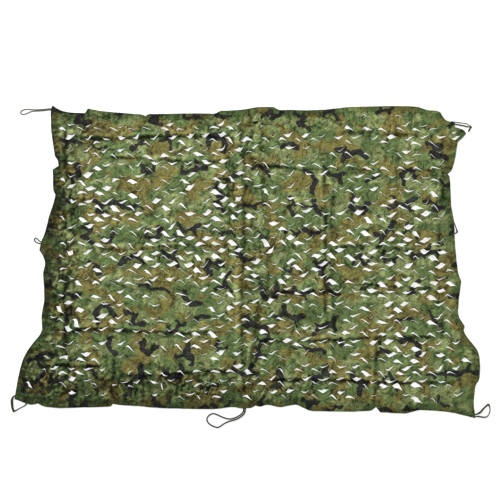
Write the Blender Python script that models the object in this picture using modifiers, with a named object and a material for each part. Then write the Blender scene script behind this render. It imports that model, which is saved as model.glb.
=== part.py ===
"""A camouflage net laid out flat: one slit cloth with its turned hem, and the cord loops at its rim.

The cloth lies on the XY plane, +Z up, with +Y towards its top edge. The origin is on the surface
that it lies on, under the middle of the cloth's own box. Tables are in millimetres, objects in metres.
"""

import math
import random
from itertools import product
from typing import NamedTuple

import bmesh
import bpy
import numpy as np
from mathutils import Vector, geometry

MM = 0.001

# The cloth.
CLOTH_THICKNESS = 1.8
HEM_THICKNESS = 3.0
HEM_WIDTH = 30.0
RIM_SPACING = 46.0  # longest straight stretch of the rim
POINT_SPACING = 25.0  # closest that two inner points of the sheet may lie
RIM_SPARE = 0.7 * POINT_SPACING  # and closest that one may lie to the rim
HEM_POINT_SPARE = 0.8 * HEM_WIDTH  # the same for a point of the hem's inner edge

# Its relief: folds, and low ripples between them. What would be lower than FLAT_BELOW lies flat.
FLAT_BELOW = 3.0
RELIEF_BASE = 2.0
RIPPLE_RISE = 3.4
RIPPLE_LENGTHS = (33.0, 29.0)  # across the net and down it, each for one radian
RIPPLE_SWAYS = (64.0, 71.0)
SLANT_RISE = 2.2  # a second ripple, aslant
SLANT_LENGTHS = (19.0, 23.0)
RIM_CALM = 90.0  # the relief dies down over this distance towards the rim
RIM_SHARE = 0.45  # to this share
ROOT_FLAT = 45.0  # the cloth lies flat this near to a cord's root
ROOT_CALM = 60.0  # and its relief comes back over this distance
FOLD_STEP = 58.0  # between two points along a fold
FOLD_FEET = (0.0, -1.15, 1.15)  # its crest and its feet, in half widths from the crest
FOLD_TAPER = 60.0  # a fold rises from nothing over this length at each end
UNEVEN_MEAN = 0.8  # its rise swings around this share of its own
UNEVEN_SWING = 0.28
UNEVEN_LENGTH = 41.0

# The slits: rows where V cuts and upturned cuts take turns, the crests of these level with the V's.
PITCH_ACROSS = 84.0  # from one V to the next
PITCH_DOWN = 64.0
LATTICE_START = (-1138.0, -663.0)  # the first V of the lowest row
LATTICE_COLUMNS = 28
LATTICE_ROWS = 22
UPTURNED_DROP = 3.0
ROW_WAVE = 8.0  # how far rows and columns wander
ROW_WAVE_LENGTHS = (230.0, 190.0)
STRAY = 3.0  # how far each cut strays by itself
SLIT_MARGIN = 50.0  # uncut cloth inside the rim
SLIT_MIDDLE = 15.0  # from the lowest point or crest to the middle of the cut
V_ENDS = ((-21.0, 11.0), (31.0, 26.0))  # a V cut's ends from its lowest point
UPTURNED_ENDS = ((-17.0, -13.0), (37.0, -29.0))  # an upturned cut's ends from its crest
OPENING_LEAST = 5.0
OPENING_MOST = 26.0
OPENING_BASE = 6.0
WIDENING = 1.55
HELD_SHUT = 0.6  # what the cloth's stiffness takes off each opening
FOLD_PULL = 11.0  # what a tall level fold adds to the slits that end along it
FOLD_PULL_REACH = 24.0
FOLD_PULL_TALL = 19.0
FOLD_PULL_TURN = 0.2  # and how far it turns them, so that their tongues lie level with it
LEVEL_SLOPE = 0.2
SHARE_LEAST = 0.1  # each slit's own share of the opening around it
SHARE_RANGE = 2.6
SHARE_POWER = 2.4
TIP_ASIDE = 2.0
TONGUE_LIFT = 0.35  # rise of a tongue's tip for each millimetre that it has drawn back

# The cords.
CORD_STEP = 11.0
END_STEP = 1.5  # a short first and last stretch, so that the caps face the hem squarely
CORD_SIDES_LEVEL = 2
FINE_STEP = 0.1  # at which a route is followed to find where it leaves the cloth
CORD_CLEARANCE = 0.2  # under a cord where it lies on the surface
PIECE_GAP = 0.3

SEED = 7
INSIDE_WITH_HOLES = 2  # the triangulation keeps what lies inside the rim and outside the gaps
SAME_POINT = 1e-6


class Knot(NamedTuple):
    """A point of a rim: its place along the rim's axis, and its level on the other axis."""

    along: float
    level: float


class Fold(NamedTuple):
    """A ridge in the cloth from one end to the other, bowed sideways by bow at its middle."""

    x0: float
    y0: float
    x1: float
    y1: float
    rise: float
    half_width: float
    bow: float


class Spot(NamedTuple):
    """A stretch of cloth whose slits gape more, or less, than elsewhere."""

    x: float
    y: float
    reach: float
    opening: float


class Slit(NamedTuple):
    """One cut: its kind, its lowest point or crest, how far its tongue draws back, and its turn."""

    upturned: bool
    x: float
    y: float
    opening: float
    turn: float


class Stop(NamedTuple):
    """A point on a cord's route, and the cord's thickness there against its usual one."""

    x: float
    y: float
    swell: float = 1.0


class Cord(NamedTuple):
    """A cord's usual diameter and its route."""

    diameter: float
    stops: list


def table(kind, *rows):
    """The rows with the named columns of their kind."""
    return [kind(*row) for row in rows]


BOTTOM_LEFT = (-1163.5, -686.0)
BOTTOM_RIGHT = (1139.0, -781.8)
TOP_RIGHT = (1036.5, 697.0)
TOP_LEFT = (-975.0, 781.8)

# along, level
BOTTOM_RIM = table(
    Knot, (-1103, -708), (-1077, -715), (-1045, -708), (-1020, -721), (-940, -731), (-829, -728),
    (-683, -723), (-671, -710), (-641, -715), (-545, -721), (-417, -732), (-163, -736), (-76, -726),
    (-25, -733), (22, -729), (40, -719), (64, -724), (96, -715), (163, -726), (242, -714),
    (318, -745), (513, -749), (619, -743), (643, -726), (664, -752), (797, -757), (856, -741),
    (996, -750), (1084, -768),
)
RIGHT_RIM = table(
    Knot, (-754, 1137), (-712, 1132), (-617, 1142), (-589, 1158), (-536, 1163.5), (-484, 1161),
    (-446, 1151), (-406, 1123), (-371, 1095), (-343, 1081), (-321, 1086), (-291, 1067), (-261, 1054),
    (-181, 1058), (-96, 1068), (-61, 1055), (99, 1038), (206, 1033), (274, 1020), (388, 1014),
    (429, 1011), (439, 1001), (452, 1017), (538, 1043), (598, 1052), (621, 1078), (640, 1094),
    (656, 1084), (664, 1068), (673, 1037),
)
TOP_RIM = table(
    Knot, (-936, 759), (-886, 747), (-811, 744), (-797, 767), (-761, 759), (-711, 752), (-561, 739),
    (-519, 734), (-509, 728), (-496, 737), (-236, 742), (-161, 742), (-136, 753), (-41, 759),
    (68, 774), (132, 773), (154, 761), (313, 758), (407, 763), (518, 774), (763, 779), (853, 774),
    (902, 758), (945, 755), (965, 748), (983, 719), (995, 707),
)
LEFT_RIM = table(
    Knot, (-568, -1143), (-476, -1116), (-402, -1068), (-340, -1026), (-266, -1028), (-209, -1017),
    (-161, -1015), (-56, -1020), (-5, -1011), (43, -1029), (59, -1040), (100, -1030), (151, -1010),
    (225, -991), (298, -968), (336, -959), (350, -967), (388, -971), (461, -971), (480, -943),
    (512, -948), (525, -959), (579, -968), (675, -981), (750, -982),
)

# x0, y0, x1, y1, rise, half_width, bow
FOLDS = table(
    Fold,
    # the crumpled band down the middle
    (-37, 700, -7, -670, 24, 26, 14), (74, 735, 98, -180, 20, 22, -10), (44, -160, 22, -680, 22, 24, 8),
    (-126, 700, -106, 10, 9, 24, 12), (184, 160, 214, -690, 12, 26, -12),
    # the creases down the right half
    (378, 480, 398, -340, 15, 20, 8), (436, 455, 416, -690, 14, 18, -10),
    (634, -340, 645, -715, 18, 18, 5), (742, 740, 728, -340, 9, 24, 12),
    # the creases down the left half
    (-506, 715, -492, 284, 12, 20, 6), (-671, -450, -676, -700, 16, 18, 4),
    # the crumpled strips inside the two side hems
    (-906, 690, -872, 60, 19, 24, -12), (-938, 0, -880, -660, 18, 24, 14),
    (968, 660, 958, -330, 19, 24, 12), (1020, -360, 1070, -700, 12, 22, -8),
    # the creases across the upper half
    (-926, 630, -62, 622, 15, 18, -8), (-736, 519, -77, 504, 12, 18, 6), (24, 478, 388, 466, 15, 17, 5),
    (464, 474, 964, 454, 12, 18, -6), (414, 644, 1010, 638, 13, 20, 7), (-786, 74, -62, 80, 12, 20, -9),
    (414, 79, 1020, 64, 12, 18, 8),
    # the creases across the lower half
    (488, -116, 1038, -126, 14, 18, 5), (114, -142, 488, -151, 13, 18, -6),
    (-976, -340, -112, -347, 17, 20, 8), (38, -387, 986, -376, 14, 18, -7),
    (-1036, -522, -687, -510, 14, 20, 6), (-646, -562, -62, -551, 17, 20, -8),
    (74, -590, 1036, -597, 19, 18, 7),
)

# x, y, reach, opening
SPOTS = table(
    Spot, (-750, 380, 120, 9), (-480, 275, 170, 6), (-170, 170, 210, 7), (-460, -10, 90, 13),
    (-520, 110, 140, -7), (-430, -190, 190, -3), (-450, -480, 260, -3), (-520, -660, 240, -2),
    (-760, -330, 100, 5), (-100, -330, 160, 4), (90, 10, 170, 11), (270, 440, 150, -5),
    (260, -190, 110, -4), (560, 260, 90, 17), (410, -30, 80, 12), (860, 10, 130, 17),
    (760, -290, 190, 4), (880, 290, 90, 6), (-930, 580, 90, 18), (740, 560, 90, 5),
    (-920, -180, 90, 14), (420, -430, 130, -4), (1000, 130, 110, -9), (-600, 700, 380, -3),
    (700, 680, 400, -4), (300, 570, 90, 7), (-240, -30, 110, 5), (860, -660, 130, 7),
    (990, -330, 90, -5), (1010, 580, 80, 8), (-780, 100, 110, 6), (-30, 720, 80, 6),
)

# Each cord's diameter, and its route from its root in the hem: x, y, swell.
# Those that end in the hem are loops.
CORDS = {
    "loop_top_left": Cord(5.5, table(
        Stop, (-965, 766.7), (-985, 765.4), (-1010, 763.2), (-1035, 760.7), (-1060, 759.8), (-1076, 761.0),
        (-1092, 762.4), (-1108, 762.2), (-1122, 757.8), (-1131.5, 750.5), (-1131, 741.5), (-1119, 736.8),
        (-1104, 740.5), (-1089, 747.5), (-1074, 752.4), (-1060, 753.6), (-1035, 754.5), (-1010, 757),
        (-985, 759.2), (-965, 760.5),
    )),
    "strand_top_right_upper": Cord(6.5, table(
        Stop, (1018, 701, 0.75), (1036.5, 698.5, 0.75), (1055, 696, 0.75), (1076, 693.5, 0.75),
        (1096, 690, 0.75), (1107.5, 683, 0.8), (1114.5, 674, 1.7), (1112.5, 665, 1.3), (1108, 657, 1.45),
        (1104.5, 650, 1.2),
    )),
    "strand_top_right_lower": Cord(7.5, table(
        Stop, (1018, 690), (1036.5, 687.5), (1055, 684.5), (1074, 681), (1090, 677.5), (1106, 673.8),
    )),
    "loop_left": Cord(6.2, table(
        Stop, (-1018, 97.5), (-1030, 99.5), (-1038, 103.5), (-1046, 111), (-1053, 117.5), (-1059, 118.5),
        (-1063.5, 114), (-1063.5, 107.5), (-1058.5, 101), (-1050, 95.5), (-1040, 92), (-1030, 90.5),
        (-1018, 90),
    )),
    "loop_right": Cord(5.5, table(
        Stop, (1016, 206), (1030, 200), (1038, 184), (1043.5, 168), (1048, 153, 1.6), (1045, 145.5, 1.3),
        (1037, 141.5), (1026, 140), (1014, 140.5),
    )),
    "loop_bottom_left": Cord(8.5, table(
        Stop, (-1144, -667, 0.8), (-1161, -668.5, 0.85), (-1171, -677, 1.25), (-1175.5, -692, 1.6),
        (-1175, -710, 1.6), (-1172.5, -730, 1.5), (-1166.5, -745, 1.35), (-1158, -743.5, 0.95),
        (-1146, -736.5, 0.8), (-1130, -728, 0.75), (-1114, -719.5, 0.8), (-1104, -710, 1.0),
        (-1099, -698, 1.0),
    )),
    "loop_bottom": Cord(7.5, table(
        Stop, (-10, -718), (-10.3, -738), (-12.5, -752), (-20.5, -764.5), (-34.5, -775.5), (-50, -784.5),
        (-65, -790), (-80, -794), (-98, -800), (-117, -809), (-134, -821), (-149, -827.5), (-164, -823.5),
        (-181, -816), (-196, -803), (-202, -788.5), (-198.5, -776), (-188, -765), (-174, -758.5),
        (-160, -760), (-143, -767.5), (-124, -776), (-105, -782.5), (-87, -785), (-70, -782), (-54, -776),
        (-39.5, -768), (-27, -758), (-20.3, -748), (-18.4, -738), (-18, -718),
    )),
    "loop_bottom_right": Cord(6.5, table(
        Stop, (1124, -761), (1141, -762, 1.1), (1154, -757.5, 1.5), (1165.5, -750, 1.65),
        (1174, -740.5, 1.5), (1183, -730, 1.35), (1194, -720.5, 1.35), (1203.5, -713, 1.5),
        (1209, -718.5, 1.2), (1211.5, -728, 0.85), (1212.8, -739, 0.8), (1210.5, -752, 0.8),
        (1205.5, -765, 0.85), (1197, -773.5, 0.95), (1186, -776.5, 1.1), (1169, -775, 1.25),
        (1155, -772.8, 1.2), (1141, -772.5), (1126, -773),
    )),
}

CLOTH_COLOUR = (0.135, 0.165, 0.065, 1.0)
CORD_COLOUR = (0.035, 0.04, 0.018, 1.0)


def profile(knots):
    """Points of a smooth curve through the knots that never swings past them."""
    spans = list(zip(knots, knots[1:]))
    slopes = [(b.level - a.level) / (b.along - a.along) for a, b in spans]
    tangents = [slopes[0]]
    for before, after in zip(slopes, slopes[1:]):
        tangents.append(2 * before * after / (before + after) if before * after > 0 else 0.0)
    tangents.append(slopes[-1])
    points = []
    for (a, b), start, end in zip(spans, tangents, tangents[1:]):
        run = b.along - a.along
        steps = max(1, math.ceil(math.hypot(run, b.level - a.level) / RIM_SPACING))
        for step in range(steps):
            t = step / steps
            level = (
                a.level * (1 + 2 * t) * (1 - t) ** 2
                + run * start * t * (1 - t) ** 2
                + b.level * t * t * (3 - 2 * t)
                - run * end * t * t * (1 - t)
            )
            points.append((a.along + run * t, level))
    return points


def between(first, rim, last):
    """The knots of a rim with its two corners, each a knot of its own."""
    return [Knot(*first), *rim, Knot(*last)]


def outline():
    """The cloth's rim, anticlockwise from its bottom left corner, centred on the origin."""
    bottom = profile(between(BOTTOM_LEFT, BOTTOM_RIM, BOTTOM_RIGHT))
    right = profile(between(BOTTOM_RIGHT[::-1], RIGHT_RIM, TOP_RIGHT[::-1]))
    top = profile(between(TOP_LEFT, TOP_RIM, TOP_RIGHT))
    left = profile(between(BOTTOM_LEFT[::-1], LEFT_RIM, TOP_LEFT[::-1]))
    rim = bottom + [(x, y) for y, x in right]
    rim += [TOP_RIGHT] + top[:0:-1]
    rim += [TOP_LEFT] + [(x, y) for y, x in left[:0:-1]]
    rim = np.array(rim)
    return rim - 0.5 * (rim.min(axis=0) + rim.max(axis=0))


def depth_inside(points, rim):
    """How far inside the rim each point lies; a point outside it has a negative depth."""
    points = np.atleast_2d(points)[:, None, :]
    start, end = rim[None], np.roll(rim, -1, axis=0)[None]
    run = end - start
    share = ((points - start) * run).sum(axis=2) / (run * run).sum(axis=2)
    nearest = start + run * np.clip(share, 0.0, 1.0)[..., None]
    distance = np.linalg.norm(points - nearest, axis=2).min(axis=1)
    straddles = (start[..., 1] > points[..., 1]) != (end[..., 1] > points[..., 1])
    rise = np.where(run[..., 1] == 0, 1.0, run[..., 1])
    meets = start[..., 0] + (points[..., 1] - start[..., 1]) * run[..., 0] / rise
    inside = (straddles & (points[..., 0] < meets)).sum(axis=1) % 2 == 1
    return np.where(inside, distance, -distance)


def hem_line(rim):
    """Points along the hem's inner edge, one for every second point of the rim."""
    along = np.roll(rim, -1, axis=0) - np.roll(rim, 1, axis=0)
    inward = np.column_stack((-along[:, 1], along[:, 0])) / np.linalg.norm(along, axis=1)[:, None]
    line = (rim + HEM_WIDTH * inward)[::2]
    return line[depth_inside(line, rim) > HEM_POINT_SPARE]


def drawn_by_fold(upturned, x, y):
    """How strongly a level fold draws a cut beside it open, from 0 to 1."""
    foot = y + (UPTURNED_ENDS if upturned else V_ENDS)[1][1]
    most = 0.0
    for fold in FOLDS:
        share = (x - fold.x0) / (fold.x1 - fold.x0)
        if abs(fold.y1 - fold.y0) < LEVEL_SLOPE * abs(fold.x1 - fold.x0) and 0.0 < share < 1.0:
            level = fold.y0 + share * (fold.y1 - fold.y0) + fold.bow * math.sin(2.0 * math.pi * share)
            aside = (foot - level) / FOLD_PULL_REACH
            most = max(most, min(fold.rise / FOLD_PULL_TALL, 1.0) * math.exp(-aside * aside))
    return most


def opening_at(x, y):
    """How far slits gape around a place, before each one's own share."""
    opening = OPENING_BASE
    for spot in SPOTS:
        distance = math.hypot(x - spot.x, y - spot.y) / spot.reach
        opening += spot.opening * math.exp(-distance * distance)
    return opening


def lattice(rim):
    """The cuts of the whole net as {(column, row, upturned): slit}, but for those near the rim."""
    rng = random.Random(SEED)
    slits = {}
    for row, column, upturned in product(range(LATTICE_ROWS), range(LATTICE_COLUMNS), (False, True)):
        x = LATTICE_START[0] + (column + 0.5 * upturned) * PITCH_ACROSS
        y = LATTICE_START[1] + row * PITCH_DOWN - UPTURNED_DROP * upturned
        x += ROW_WAVE * math.sin(y / ROW_WAVE_LENGTHS[1]) + rng.uniform(-STRAY, STRAY)
        y += ROW_WAVE * math.sin(x / ROW_WAVE_LENGTHS[0] + 1.0) + rng.uniform(-STRAY, STRAY)
        own_share = SHARE_LEAST + SHARE_RANGE * rng.random() ** SHARE_POWER
        drawn = drawn_by_fold(upturned, x, y)
        opening = WIDENING * opening_at(x, y) * own_share - HELD_SHUT + FOLD_PULL * drawn
        opening = min(max(opening, OPENING_LEAST), OPENING_MOST)
        turn = FOLD_PULL_TURN * drawn * (1 if upturned else -1)
        slits[column, row, upturned] = Slit(upturned, x, y, opening, turn)
    middles = [(s.x, s.y - SLIT_MIDDLE if s.upturned else s.y + SLIT_MIDDLE) for s in slits.values()]
    depths = depth_inside(middles, rim)
    return {site: s for (site, s), depth in zip(slits.items(), depths) if depth > SLIT_MARGIN}


def widest_of_each_four(slits):
    """The widest slit in each block of two columns by two rows of its kind."""
    blocks = {}
    for (column, row, upturned), slit in slits.items():
        blocks.setdefault((column // 2, row // 2, upturned), []).append(slit)
    return [max(block, key=lambda slit: slit.opening) for block in blocks.values()]


def gap_corners(slit):
    """A gap's four corners, anticlockwise, and which of them is the tongue's tip."""
    left, right = UPTURNED_ENDS if slit.upturned else V_ENDS
    if slit.upturned:
        offsets, tip = (left, (TIP_ASIDE, -slit.opening), right, (0.0, 0.0)), 1
    else:
        offsets, tip = (left, (0.0, 0.0), right, (TIP_ASIDE, slit.opening)), 3
    c, s = math.cos(slit.turn), math.sin(slit.turn)
    return [(slit.x + c * x - s * y, slit.y + s * x + c * y) for x, y in offsets], tip


def fold_place(fold, share, aside):
    """The point a share of the way along a fold, and aside from its crest."""
    run = Vector((fold.x1 - fold.x0, fold.y1 - fold.y0))
    across = Vector((-run.y, run.x)).normalized()
    sway = fold.bow * math.sin(2 * math.pi * share) + aside
    return Vector((fold.x0, fold.y0)) + run * share + across * sway


def fold_points():
    """Points along every fold's crest and both of its feet."""
    points = []
    for fold in FOLDS:
        steps = round(math.hypot(fold.x1 - fold.x0, fold.y1 - fold.y0) / FOLD_STEP)
        for side in FOLD_FEET:
            for step in range(steps + 1):
                points.append(tuple(fold_place(fold, step / steps, side * fold.half_width)))
    return points


def ridge_height(fold, x, y):
    """A fold's own height at each point: a rounded ridge that is uneven along it and tapers out."""
    length = math.hypot(fold.x1 - fold.x0, fold.y1 - fold.y0)
    run = ((fold.x1 - fold.x0) / length, (fold.y1 - fold.y0) / length)
    along = ((x - fold.x0) * run[0] + (y - fold.y0) * run[1]) / length
    aside = -(x - fold.x0) * run[1] + (y - fold.y0) * run[0]
    aside -= fold.bow * np.sin(2 * np.pi * along)
    taper = np.clip(np.minimum(along, 1 - along) * length / FOLD_TAPER, 0.0, 1.0)
    uneven = UNEVEN_MEAN + UNEVEN_SWING * np.sin(along * length / UNEVEN_LENGTH + fold.x0)
    return fold.rise * taper * uneven * np.exp(-((aside / fold.half_width) ** 2))


def relief(points, rim, roots):
    """Height of the cloth's underside over the surface at each point, zero where it lies flat."""
    x, y = points[:, 0], points[:, 1]
    across = np.sin(x / RIPPLE_LENGTHS[0] + 1.4 * np.sin(y / RIPPLE_SWAYS[1]))
    down = np.sin(y / RIPPLE_LENGTHS[1] + 1.1 * np.sin(x / RIPPLE_SWAYS[0]))
    height = RELIEF_BASE + RIPPLE_RISE * across * down
    height += SLANT_RISE * np.sin(x / SLANT_LENGTHS[0] + y / SLANT_LENGTHS[1])
    for fold in FOLDS:
        height += ridge_height(fold, x, y)
    inland = np.clip(depth_inside(points, rim) / RIM_CALM, 0.0, 1.0)
    height *= RIM_SHARE + (1.0 - RIM_SHARE) * inland
    from_root = np.linalg.norm(points[:, None, :] - roots[None], axis=2).min(axis=1)
    height *= np.clip((from_root - ROOT_FLAT) / ROOT_CALM, 0.0, 1.0)
    return np.maximum(height - FLAT_BELOW, 0.0)


def spread_out(candidates, taken, rim):
    """Those candidates that keep their spacing from the points taken, from each other and the rim."""
    candidates = np.array(candidates)
    candidates = candidates[depth_inside(candidates, rim) > RIM_SPARE]
    taken = [tuple(point) for point in taken]
    kept = []
    for point in candidates:
        if np.linalg.norm(np.array(taken) - point, axis=1).min() >= POINT_SPACING:
            kept.append(tuple(point))
            taken.append(tuple(point))
    return kept


def material(name, colour, roughness):
    """A Principled material of one colour."""
    made = bpy.data.materials.new(name)
    made.use_nodes = True
    shader = made.node_tree.nodes["Principled BSDF"]
    shader.inputs["Base Color"].default_value = colour
    shader.inputs["Roughness"].default_value = roughness
    shader.inputs["Metallic"].default_value = 0.0
    return made


def net_cloth(collection, rim, roots):
    """The cloth: a sheet with its gaps cut out, laid over its folds and given its thickness."""
    slits = lattice(rim)
    widest = widest_of_each_four(slits)
    points, rings, lifts = [tuple(p) for p in rim], [list(range(len(rim)))], [0.0] * len(rim)
    for slit in widest:
        corners, tip = gap_corners(slit)
        rings.append([len(points) + k for k in range(len(corners))])
        points += corners
        lifts += [TONGUE_LIFT * slit.opening if k == tip else 0.0 for k in range(len(corners))]
    hem = spread_out(hem_line(rim), points[len(rim):], rim)
    points += hem
    left_whole = [(s.x, s.y) for s in slits.values() if s not in widest]
    points += spread_out(fold_points() + left_whole, points[len(rim):], rim)
    lifts += [0.0] * (len(points) - len(lifts))

    flat = geometry.delaunay_2d_cdt([Vector(p) for p in points], [], rings, INSIDE_WITH_HOLES, SAME_POINT)
    places, faces, came_from = flat[0], flat[2], flat[3]
    xy = np.array([tuple(p) for p in places])
    height = relief(xy, rim, roots)
    height += [max((lifts[k] for k in sources), default=0.0) for sources in came_from]
    mesh = bpy.data.meshes.new("net_cloth")
    mesh.from_pydata([(x * MM, y * MM, z * MM) for (x, y), z in zip(xy, height)], [], faces)
    cloth = bpy.data.objects.new("net_cloth", mesh)
    collection.objects.link(cloth)

    sheet = bmesh.new()
    sheet.from_mesh(mesh)
    bmesh.ops.recalc_face_normals(sheet, faces=sheet.faces)
    if sum(face.normal.z for face in sheet.faces) < 0:
        bmesh.ops.reverse_faces(sheet, faces=sheet.faces)
    sheet.to_mesh(mesh)
    sheet.free()

    hem_band = cloth.vertex_groups.new(name="hem")
    in_band = np.flatnonzero(depth_inside(xy, rim) < 1.05 * HEM_WIDTH)
    hem_band.add([int(k) for k in in_band], 1.0, "REPLACE")
    thick = cloth.modifiers.new("Thickness", "SOLIDIFY")
    thick.thickness = HEM_THICKNESS * MM
    thick.vertex_group = hem_band.name
    thick.thickness_vertex_group = CLOTH_THICKNESS / HEM_THICKNESS
    thick.offset = 1.0
    mesh.materials.append(material("net_cloth", CLOTH_COLOUR, 0.85))
    return cloth, len(widest)


def smooth_path(stops, step):
    """A smooth curve through the stops as rows of x, y and swell, about a step apart."""
    rows = np.array(stops)
    rows = np.vstack((2 * rows[0] - rows[1], rows, 2 * rows[-1] - rows[-2]))
    path = []
    for k in range(1, len(rows) - 2):
        before, start, end, after = rows[k - 1 : k + 3]
        pieces = max(1, round(np.linalg.norm(end[:2] - start[:2]) / step))
        for piece in range(pieces):
            t = piece / pieces
            path.append(
                start
                + 0.5 * t * (end - before)
                + t * t * (before - 2.5 * start + 2 * end - 0.5 * after)
                + t ** 3 * (1.5 * (start - end) + 0.5 * (after - before))
            )
    path.append(rows[-2])
    return np.array(path)


def clear_of_cloth(path, diameter, rim):
    """Where a finely divided path leaves the cloth and comes back: the part with room for its caps."""
    heading = np.gradient(path[:, :2], axis=0)
    side = np.column_stack((-heading[:, 1], heading[:, 0])) / np.linalg.norm(heading, axis=1)[:, None]
    side *= 0.5 * diameter * path[:, 2:]
    depth = np.maximum(depth_inside(path[:, :2] + side, rim), depth_inside(path[:, :2] - side, rim))
    outside = np.flatnonzero(depth < -PIECE_GAP)
    return path[outside[0] : outside[-1] + 1]


def cord(collection, name, shape, rim, finish):
    """A cord along its route, from the hem's edge, as a tube with closed ends."""
    path = clear_of_cloth(smooth_path(shape.stops, FINE_STEP), shape.diameter, rim)
    travelled = np.concatenate(([0.0], np.cumsum(np.linalg.norm(np.diff(path[:, :2], axis=0), axis=1))))
    length = travelled[-1]
    places = np.linspace(0.0, length, round(length / CORD_STEP) + 1)
    places = np.concatenate(([0.0, END_STEP], places[1:-1], [length - END_STEP, length]))
    rows = np.column_stack([np.interp(places, travelled, column) for column in path.T])
    curve = bpy.data.curves.new(name, "CURVE")
    curve.dimensions = "3D"
    curve.bevel_depth = 0.5 * shape.diameter * MM
    curve.bevel_resolution = CORD_SIDES_LEVEL
    curve.use_fill_caps = True
    spline = curve.splines.new("POLY")
    spline.points.add(len(rows) - 1)
    for point, (x, y, swell) in zip(spline.points, rows):
        z = 0.5 * shape.diameter * swell + CORD_CLEARANCE
        point.co = (x * MM, y * MM, z * MM, 1.0)
        point.radius = swell
    curve.materials.append(finish)
    made = bpy.data.objects.new(name, curve)
    collection.objects.link(made)
    return length


def main():
    """Clears the scene and builds the net."""
    for old in list(bpy.data.objects):
        bpy.data.objects.remove(old, do_unlink=True)
    collection = bpy.data.collections.new("camouflage_net")
    bpy.context.scene.collection.children.link(collection)
    rim = outline()
    ends = np.array([shape.stops[end][:2] for shape in CORDS.values() for end in (0, -1)])
    roots = ends[depth_inside(ends, rim) > 0.0]
    cloth, gaps = net_cloth(collection, rim, roots)
    print(f"net_cloth: {gaps} gaps, {len(cloth.data.polygons)} sheet triangles")
    for name, shape in CORDS.items():
        length = cord(collection, name, shape, rim, material(name, CORD_COLOUR, 0.8))
        print(f"{name}: {length:.0f} mm")


main()
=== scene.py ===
"""The looks of a camouflage net laid out flat: its slit cloth, string mesh, hem stitching and cords.

The net lies on the XY plane with +Y towards its top edge and +Z up. The cloth is worked out in
millimetres, as its tables are, and the objects are in metres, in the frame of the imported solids.
"""

import logging
import math
import random
from dataclasses import dataclass
from enum import Enum, IntEnum
from itertools import product
from typing import Iterable

import bmesh
import bpy
import numpy as np
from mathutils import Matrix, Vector, geometry
from mathutils.bvhtree import BVHTree
from mathutils.kdtree import KDTree


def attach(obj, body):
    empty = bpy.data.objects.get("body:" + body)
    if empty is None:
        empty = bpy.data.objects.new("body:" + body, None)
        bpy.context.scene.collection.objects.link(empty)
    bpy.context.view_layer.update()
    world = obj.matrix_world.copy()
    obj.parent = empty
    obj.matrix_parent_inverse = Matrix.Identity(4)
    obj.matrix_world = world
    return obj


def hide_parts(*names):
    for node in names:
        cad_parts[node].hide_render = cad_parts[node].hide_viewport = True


LOG = logging.getLogger("camouflage_net")

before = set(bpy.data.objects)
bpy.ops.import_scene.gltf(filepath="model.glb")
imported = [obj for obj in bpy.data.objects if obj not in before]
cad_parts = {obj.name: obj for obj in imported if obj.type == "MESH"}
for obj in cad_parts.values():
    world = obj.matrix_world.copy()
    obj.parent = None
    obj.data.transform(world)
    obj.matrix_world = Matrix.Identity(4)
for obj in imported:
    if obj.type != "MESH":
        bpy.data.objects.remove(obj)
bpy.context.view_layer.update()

MM = 0.001
CLOTH_NODE = "net_cloth"
VIEW_WIDTH = 2500.0  # the camera sees this much of the floor, across and down
VIEW_CENTRE = (13.5, 59.3)  # what the camera looks at, from the middle of the cloth's box
CORD_CLEARANCE = 0.2  # under a cord where it lies on the floor
SIDES_FROM = 860.0  # this far from the middle, gathers start to turn level beside the short sides
SIDES_OVER = 80.0  # and they take this far to turn
MEASURED_AT_ONCE = 2000  # points, which spares memory

Array = np.ndarray
Pair = tuple[float, float]
Point = tuple[float, float, float]
Colour = tuple[float, float, float, float]
Object = bpy.types.Object
Material = bpy.types.Material
Node = bpy.types.Node
Tree = bpy.types.NodeTree
Socket = bpy.types.NodeSocket
Value = Socket | float | tuple[float, ...]  # what a node's input takes: an output or a constant
Inputs = dict[str | int, Value]  # by the names or numbers of a node's inputs
Faces = list[list[int]]


# ---- the net's own facts, in millimetres


class CutKind(Enum):
    """The two shapes of cut: its ends from its lowest point or crest, and which way its tongue draws."""

    V = ((-21.0, 11.0), (31.0, 26.0), 1.0)
    UPTURNED = ((-17.0, -13.0), (37.0, -29.0), -1.0)

    @property
    def left(self) -> Pair:
        """The left end."""
        return self.value[0]

    @property
    def right(self) -> Pair:
        """The right end."""
        return self.value[1]

    @property
    def way(self) -> float:
        """1 where the tongue hangs from above and draws up, -1 where it stands and draws down."""
        return self.value[2]


@dataclass(frozen=True)
class Fold:
    """A ridge in the cloth from one end to the other, bowed sideways by bow at its middle."""

    x0: float
    y0: float
    x1: float
    y1: float
    rise: float
    half_width: float
    bow: float
    shade: float = 1.0

    @property
    def upright(self) -> bool:
        """Whether the fold runs up the net rather than across it."""
        return abs(self.y1 - self.y0) > abs(self.x1 - self.x0)


@dataclass(frozen=True)
class Spot:
    """A stretch of cloth whose slits gape more, or less, than elsewhere."""

    x: float
    y: float
    reach: float
    opening: float


@dataclass(frozen=True)
class Crush:
    """A stretch of cloth that has been crushed into small creases, and how strongly."""

    x: float
    y: float
    reach_x: float
    reach_y: float
    strength: float


@dataclass(frozen=True)
class Cut:
    """One slit: its shape, its lowest point or crest, and how far its tongue draws back.

    Its turn and skew, and the shares of its two arms' usual lengths, set it apart from the others.
    """

    kind: CutKind
    x: float
    y: float
    opening: float
    turn: float
    skew: float
    left_share: float
    right_share: float


@dataclass(frozen=True)
class Stop:
    """A point on a cord's route, and the cord's thickness there against its usual one."""

    x: float
    y: float
    swell: float = 1.0


@dataclass(frozen=True)
class Cord:
    """A cord's usual diameter and its route."""

    diameter: float
    stops: list[Stop]


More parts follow.
